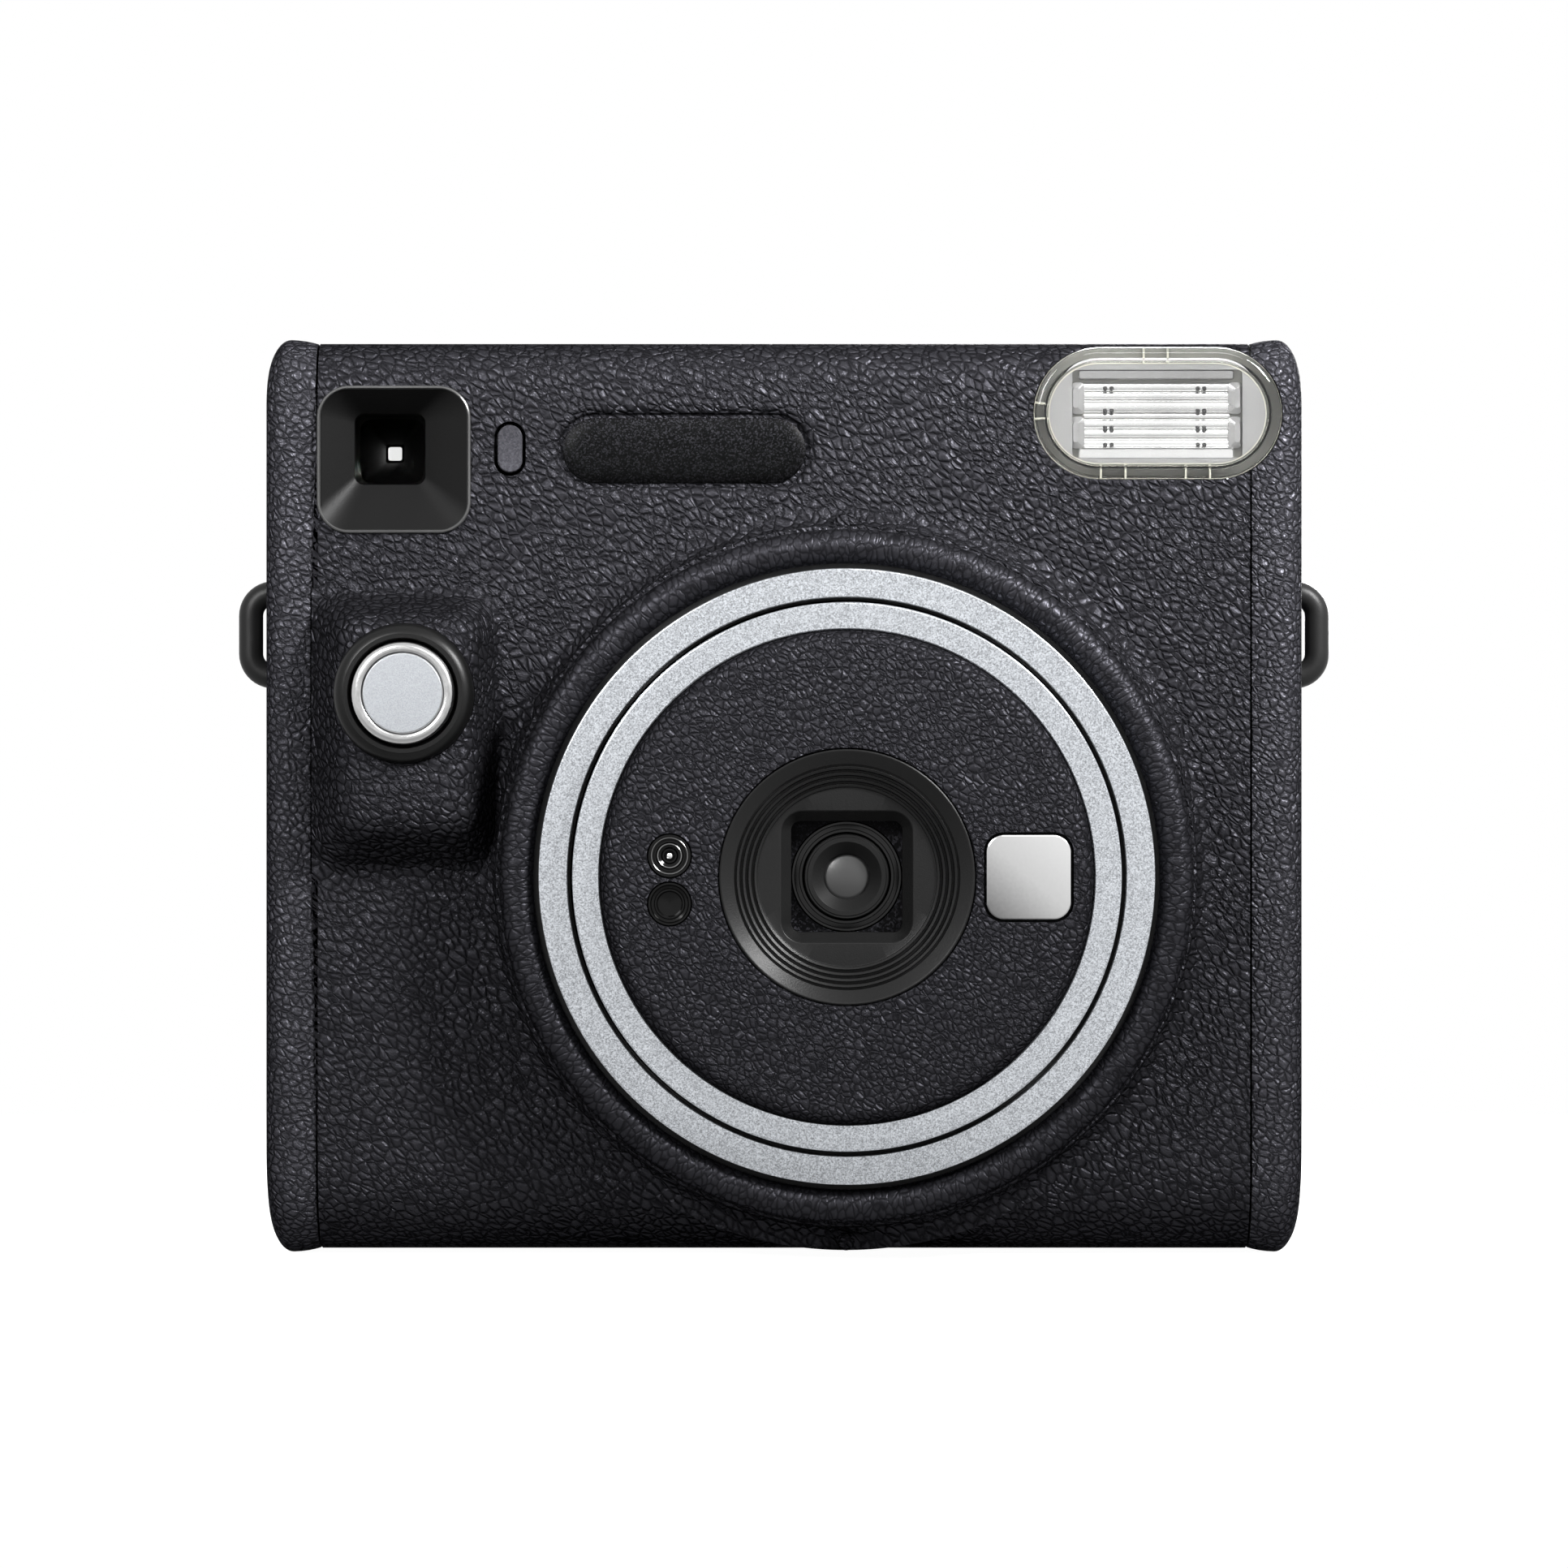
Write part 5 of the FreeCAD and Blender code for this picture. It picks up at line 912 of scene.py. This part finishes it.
def hollow_lens(x, z, size, front):
    """A strongly hollowed square lens, which makes the eyepiece look small from the front."""
    curve, thin, count = 10.4, 0.5, 24
    half = size / 2
    deep = curve - math.sqrt(curve ** 2 - 2 * half ** 2)
    grid = [-half + size * k / count for k in range(count + 1)]
    points = []
    for side in (-1, 1):
        for v in grid:
            for u in grid:
                sag = curve - math.sqrt(curve ** 2 - u ** 2 - v ** 2)
                points.append((x + u, front + deep + side * (thin / 2 + sag), z + v))
    wide = count + 1
    total = wide * wide
    faces = []
    for i in range(count):
        for j in range(count):
            a = i * wide + j
            faces.append((a, a + 1, a + wide + 1, a + wide))
            faces.append((total + a, total + a + wide, total + a + wide + 1, total + a + 1))
    edge = [(0, j) for j in range(count)] + [(i, count) for i in range(count)]
    edge += [(count, j) for j in range(count, 0, -1)] + [(i, 0) for i in range(count, 0, -1)]
    for (i0, j0), (i1, j1) in zip(edge, edge[1:] + edge[:1]):
        a, b = i0 * wide + j0, i1 * wide + j1
        faces.append((b, a, total + a, total + b))
    lens = new_object("finder_lens", points, faces, sharp=50)
    place(lens, finder_glass, "camera", "clear_glass", "viewfinder_lens")


def light_window():
    width, _, height = 2 * half_size("light_sensor_window") - 0.45
    front, back = depths("light_sensor_window")
    lines = [(0, back), (0, front + 0.2), (0.1, front + 0.05), (0.225, front)]
    stages = inset_stages(width, height, width / 2, lines)
    pane = rect_stack("light_pane", light_x, light_z, stages, per_corner=14)
    place(pane, smoked, "camera", "smoked_window", "light_sensor_window")


def badge():
    """The plate, softly domed towards its rim."""
    width, _, height = 2 * half_size("badge_plate")
    front, back = depths("badge_plate")
    sink, reach = 0.45, 2.8
    lines = [(0, back), (0, front + sink)]
    for inset in (0.04, 0.12, 0.25, 0.5, 1.0, 1.8, reach):
        lines.append((inset, front + sink * (1 - inset / reach) ** 3))
    stages = inset_stages(width, height, height / 2, lines)
    plate = rect_stack("badge_face", badge_x, badge_z, stages, per_corner=20)
    place(plate, badge_dark, "camera", "badge_grey", "badge_plate")


# ---- flash ----

def pill_stack(name, lines, wrap=False):
    """A solid shaped like the flash window, from lines (inset, y)."""
    stages = inset_stages(FLASH_LENGTH, FLASH_HEIGHT, FLASH_HEIGHT / 2, lines)
    return rect_stack(name, flash_x, flash_z, stages, per_corner=20, wrap=wrap)


def in_flash(piece, material, node="flash_reflector"):
    place(piece, material, "camera", "reflector_chrome", node)


def flash_pieces():
    front, back = depths("flash_window")
    wall, rim = 1.25, 2.0
    outer = ahead(front, (0, 1.0), (0.08, 0.6), (0.3, 0.25), (0.62, 0.06), (1.0, 0))
    inner = ahead(front, (wall, 2.0), (1.4, 1.5), (1.75, 1.1), (2.3, 1.0))
    window = pill_stack("flash_glass", [(0, back)] + outer)
    cut(window, pill_stack("tool", [(wall, back + 1), (wall, back)] + inner))
    place(window, flash_clear, "camera", "flash_lens", "flash_window")
    floor_y = front + 2.4
    plate = pill_stack("flash_frame", [(rim, floor_y), (rim, floor_y + 0.8)])
    low, high = span("flash_reflector")
    cut(plate, block("tool", (low[0] + 0.2, floor_y - 1, low[2] + 0.2),
                     (high[0] - 0.2, floor_y + 2, high[2] - 0.2)))
    in_flash(plate, frosted)
    flash_ribs(floor_y)
    flash_strips(floor_y)
    flash_fittings(floor_y)
    flash_tabs(front)


def flash_ribs(floor_y):
    """The bright ribbed reflector."""
    low, high = span("flash_reflector")
    edges = [4.2, 2.96, 1.86, 0.16, -0.57, -1.89, -3.07, -4.5]
    section = []
    for top, bottom in zip(edges, edges[1:]):
        wide = top - bottom
        for k in range(9):
            angle = math.radians(20 + 140 * k / 8)
            section.append((floor_y + 1.4 - 0.42 * wide * math.sin(angle),
                            flash_z + (top + bottom) / 2 + 0.5 * wide * math.cos(angle)))
    section += [(floor_y + 2.6, flash_z + edges[-1]), (floor_y + 2.6, flash_z + edges[0])]
    rings = [np.column_stack([np.full(len(section), x), section]) for x in (low[0] + 1.75, high[0] - 1.75)]
    in_flash(loops("flash_ribs", rings), rib_chrome)


def flash_strips(floor_y):
    """The strips over and under the reflector, and its end cells."""
    for name, z, tall, dress in (("flash_strip_upper", 5.05, 1.25, strip_satin),
                                 ("flash_strip_lower", -5.2, 1.4, chrome_satin)):
        stages = [(20.1, tall, 0.3, floor_y + 1.2), (20.1, tall, 0.3, floor_y + 0.15),
                  (19.8, tall - 0.3, 0.2, floor_y)]
        in_flash(rect_stack(name, flash_x - 0.15, flash_z + z, stages), dress)
    low, high = span("flash_reflector")
    cells = []
    for x, lean in ((low[0] + 0.95, -0.3), (high[0] - 1.15, 0.3)):
        for z in (flash_z + 2.05, flash_z - 2.4):
            stages = [(1.7, 4.1, 0.5, floor_y + 1.4), (1.7, 4.1, 0.5, floor_y + 0.5),
                      (0.7, 2.6, 0.3, floor_y + 0.05, x + lean, z)]
            cells.append(rect_stack("cell", x, z, stages, per_corner=2, sharp=15))
    in_flash(fuse_objects("flash_ends", cells), cell_satin)


def flash_fittings(floor_y):
    """Small pairs of pegs in two columns, which hold the tube."""
    peg = ahead(floor_y, (0.28, 1.4), (0.28, 0.62), (0.16, 0.5))
    pegs = [solid_disc("fitting", peg, flash_x + column + side, flash_z + z, 20)
            for column in (-6.3, 5.7) for z in (3.3, 0.35, -2.05, -4.0) for side in (-0.42, 0.42)]
    in_flash(fuse_objects("flash_fittings", pegs), fitting_grey, "flash_tube")


def flash_tabs(front):
    """Thin ribs that clip the flash glass, seen through its rim."""
    half, thick, shallow, deep = FLASH_HEIGHT / 2, 0.12, front + 1.75, front + 3.4
    ribs = []
    for u, sign in ((-1.8, 1), (1.3, 1), (-7.34, -1), (-4.16, -1), (3.64, -1), (6.77, -1)):
        x = flash_x + u
        z0, z1 = sorted((sign * (half - 1.95), sign * (half - 0.6)))
        ribs.append(block("rib", (x - thick, shallow, flash_z + z0), (x + thick, deep, flash_z + z1)))
    for z in (flash_z + 1.3, flash_z - 0.64):
        ribs.append(block("rib", (flash_x - 15.3, shallow, z - thick), (flash_x - 14.2, deep, z + thick)))
    for inset, y in ((0.32, front + 1.2), (1.95, front + 2.25)):
        near, far = inset - 0.09, inset + 0.09
        ribs.append(pill_stack("line", [(near, y + 0.3), (near, y), (far, y), (far, y + 0.3)], wrap=True))
    place(fuse_objects("flash_tabs", ribs), tab_olive, "camera", "flash_lens", "flash_window")
    pocket = pill_stack("flash_pocket", [(0.15, front + 3.6), (0.15, front + 4.2)])
    place(pocket, pocket_olive, "camera", "flash_lens", "flash_window")


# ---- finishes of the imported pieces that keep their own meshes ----

FINISHES = {
    "rear_cover": back_leather, "film_door": door_leather, "battery_door": door_leather,
    "lens_bezel": bezel_black, "viewfinder_tube": tunnel_black, "light_cone": tunnel_black,
    "strap_lugs": satin_edged, "viewfinder_eyepiece": satin_edged,
    "door_latch": satin_edged, "pack_window": clear_glass, "pack_springs": steel, "case_screws": screw_dark,
    "door_hinge_pin": steel, "battery_hinge_pin": steel,
}
SLOT_FINISHES = {
    "grained_black": back_leather, "black_leather": disc_leather, "satin_black": satin_edged,
    "gloss_black": gloss_black, "silver_ring": silver_ring, "button_silver": button_face,
    "clear_glass": clear_glass, "smoked_window": smoked, "flash_lens": flash_clear,
    "mirror_silver": mirror_silver, "reflector_chrome": chrome, "badge_grey": badge_dark, "steel": steel,
    "battery_wrap": wrap_blue, "chassis_black": chassis_black, "gear_white": gear_white,
    "foam_seal": foam_black, "board_green": board_green, "capacitor_sleeve": sleeve_dark,
}


def dress_packed_nodes():
    for name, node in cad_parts.items():
        for holder in node.material_slots:
            slot = holder.material.name.split(".")[0]
            holder.material = FINISHES.get(name, SLOT_FINISHES[slot])


# ---- surroundings ----

def world_light(diffuse_level):
    """White for the camera and for reflections, a plain level for everything else."""
    world = bpy.data.worlds.new("studio")
    bpy.context.scene.world = world
    world.use_nodes = True
    n = Nodes(world.node_tree)
    background = world.node_tree.nodes["Background"]
    _, seen = n.seen_rays()
    background.inputs["Color"].default_value = grey(1.0)
    n.join(n.math("MULTIPLY_ADD", seen, 1.0 - diffuse_level, diffuse_level), background.inputs["Strength"])


def area_light(name, place_mm, target_mm, size_mm, watts, spread=180.0):
    lamp = bpy.data.lights.new(name, "AREA")
    lamp.spread = math.radians(spread)
    lamp.shape = "RECTANGLE"
    lamp.size, lamp.size_y = size_mm[0] * MM, size_mm[1] * MM
    lamp.energy = watts
    made = bpy.data.objects.new(name, lamp)
    bpy.context.scene.collection.objects.link(made)
    at = Vector(place_mm) * MM
    made.location = at
    made.rotation_euler = (Vector(target_mm) * MM - at).to_track_quat("-Z", "Y").to_euler()


def floor():
    """A plain pale floor, which shows white to the camera and keeps the shadow."""
    size = 3000.0
    ground = new_object("floor", [(-size, -size, 0), (size, -size, 0), (size, size, 0), (-size, size, 0)],
                        [(0, 1, 2, 3)])
    material, shader, n = principled("floor_white", Roughness=0.9, Base_Color=grey(0.4),
                                     Specular_IOR_Level=0.1, Emission_Color=grey(1.0))
    by_camera, seen = n.seen_rays()
    glow = n.math("MULTIPLY_ADD", by_camera, 0.55, n.math("MULTIPLY", seen, 0.42))
    n.join(glow, shader.inputs["Emission Strength"])
    reach = n.add("VectorMath", {0: n.spot()}, operation="LENGTH").outputs["Value"]
    far = n.math("MULTIPLY", n.ramp(reach, [(0.14, 0.0), (0.4, 1.0)]), seen)
    white = n.add("Emission", {"Color": grey(1.0), "Strength": 1.0}).outputs["Emission"]
    mixed = n.add("MixShader", {0: far, 1: shader.outputs["BSDF"], 2: white}).outputs[0]
    n.join(mixed, n.tree.nodes["Material Output"].inputs["Surface"])
    ground.data.materials.append(material)


def camera():
    """A long lens straight ahead of the camera's face."""
    distance, height = 900.0, 61.1
    lens = bpy.data.cameras.new("camera_view")
    lens.sensor_width = 36.0
    lens.lens = 160.0
    eye = bpy.data.objects.new("camera_view", lens)
    bpy.context.scene.collection.objects.link(eye)
    eye.location = Vector((0, FRONT_Y - distance, height)) * MM
    eye.rotation_euler = (math.radians(90), 0, 0)
    bpy.context.scene.camera = eye


front_shell()
badge_rim()
grip_rise()
lens_collar()
side_skins()
torus_ring()
ring_sleeve()
trim_band("outer_trim", "mode_ring_trim", 35.5, 39.3, "mode_ring")
trim_band("inner_trim", "barrel_trim", 31.4, 34.9, "lens_barrel")
face_disc()
sensors()
mirror_face()
bezel_face()
lens_details()
button_pieces()
button_ring()
finder_funnel()
light_window()
badge()
flash_pieces()
dress_packed_nodes()
world_light(0.22)
area_light("key", (255, -225, 300), (60, 0, 165), (110, 110), 0.54, 52)
area_light("over", (80, -300, 300), (30, 0, 160), (140, 80), 0.03, 55)
area_light("fill", (-190, -290, 240), (-60, 0, 150), (160, 160), 0.18, 50)
area_light("back", (160, 420, 190), (0, 30, 60), (300, 220), 4.0)
floor()
camera()
bpy.context.scene.view_settings.view_transform = "Standard"
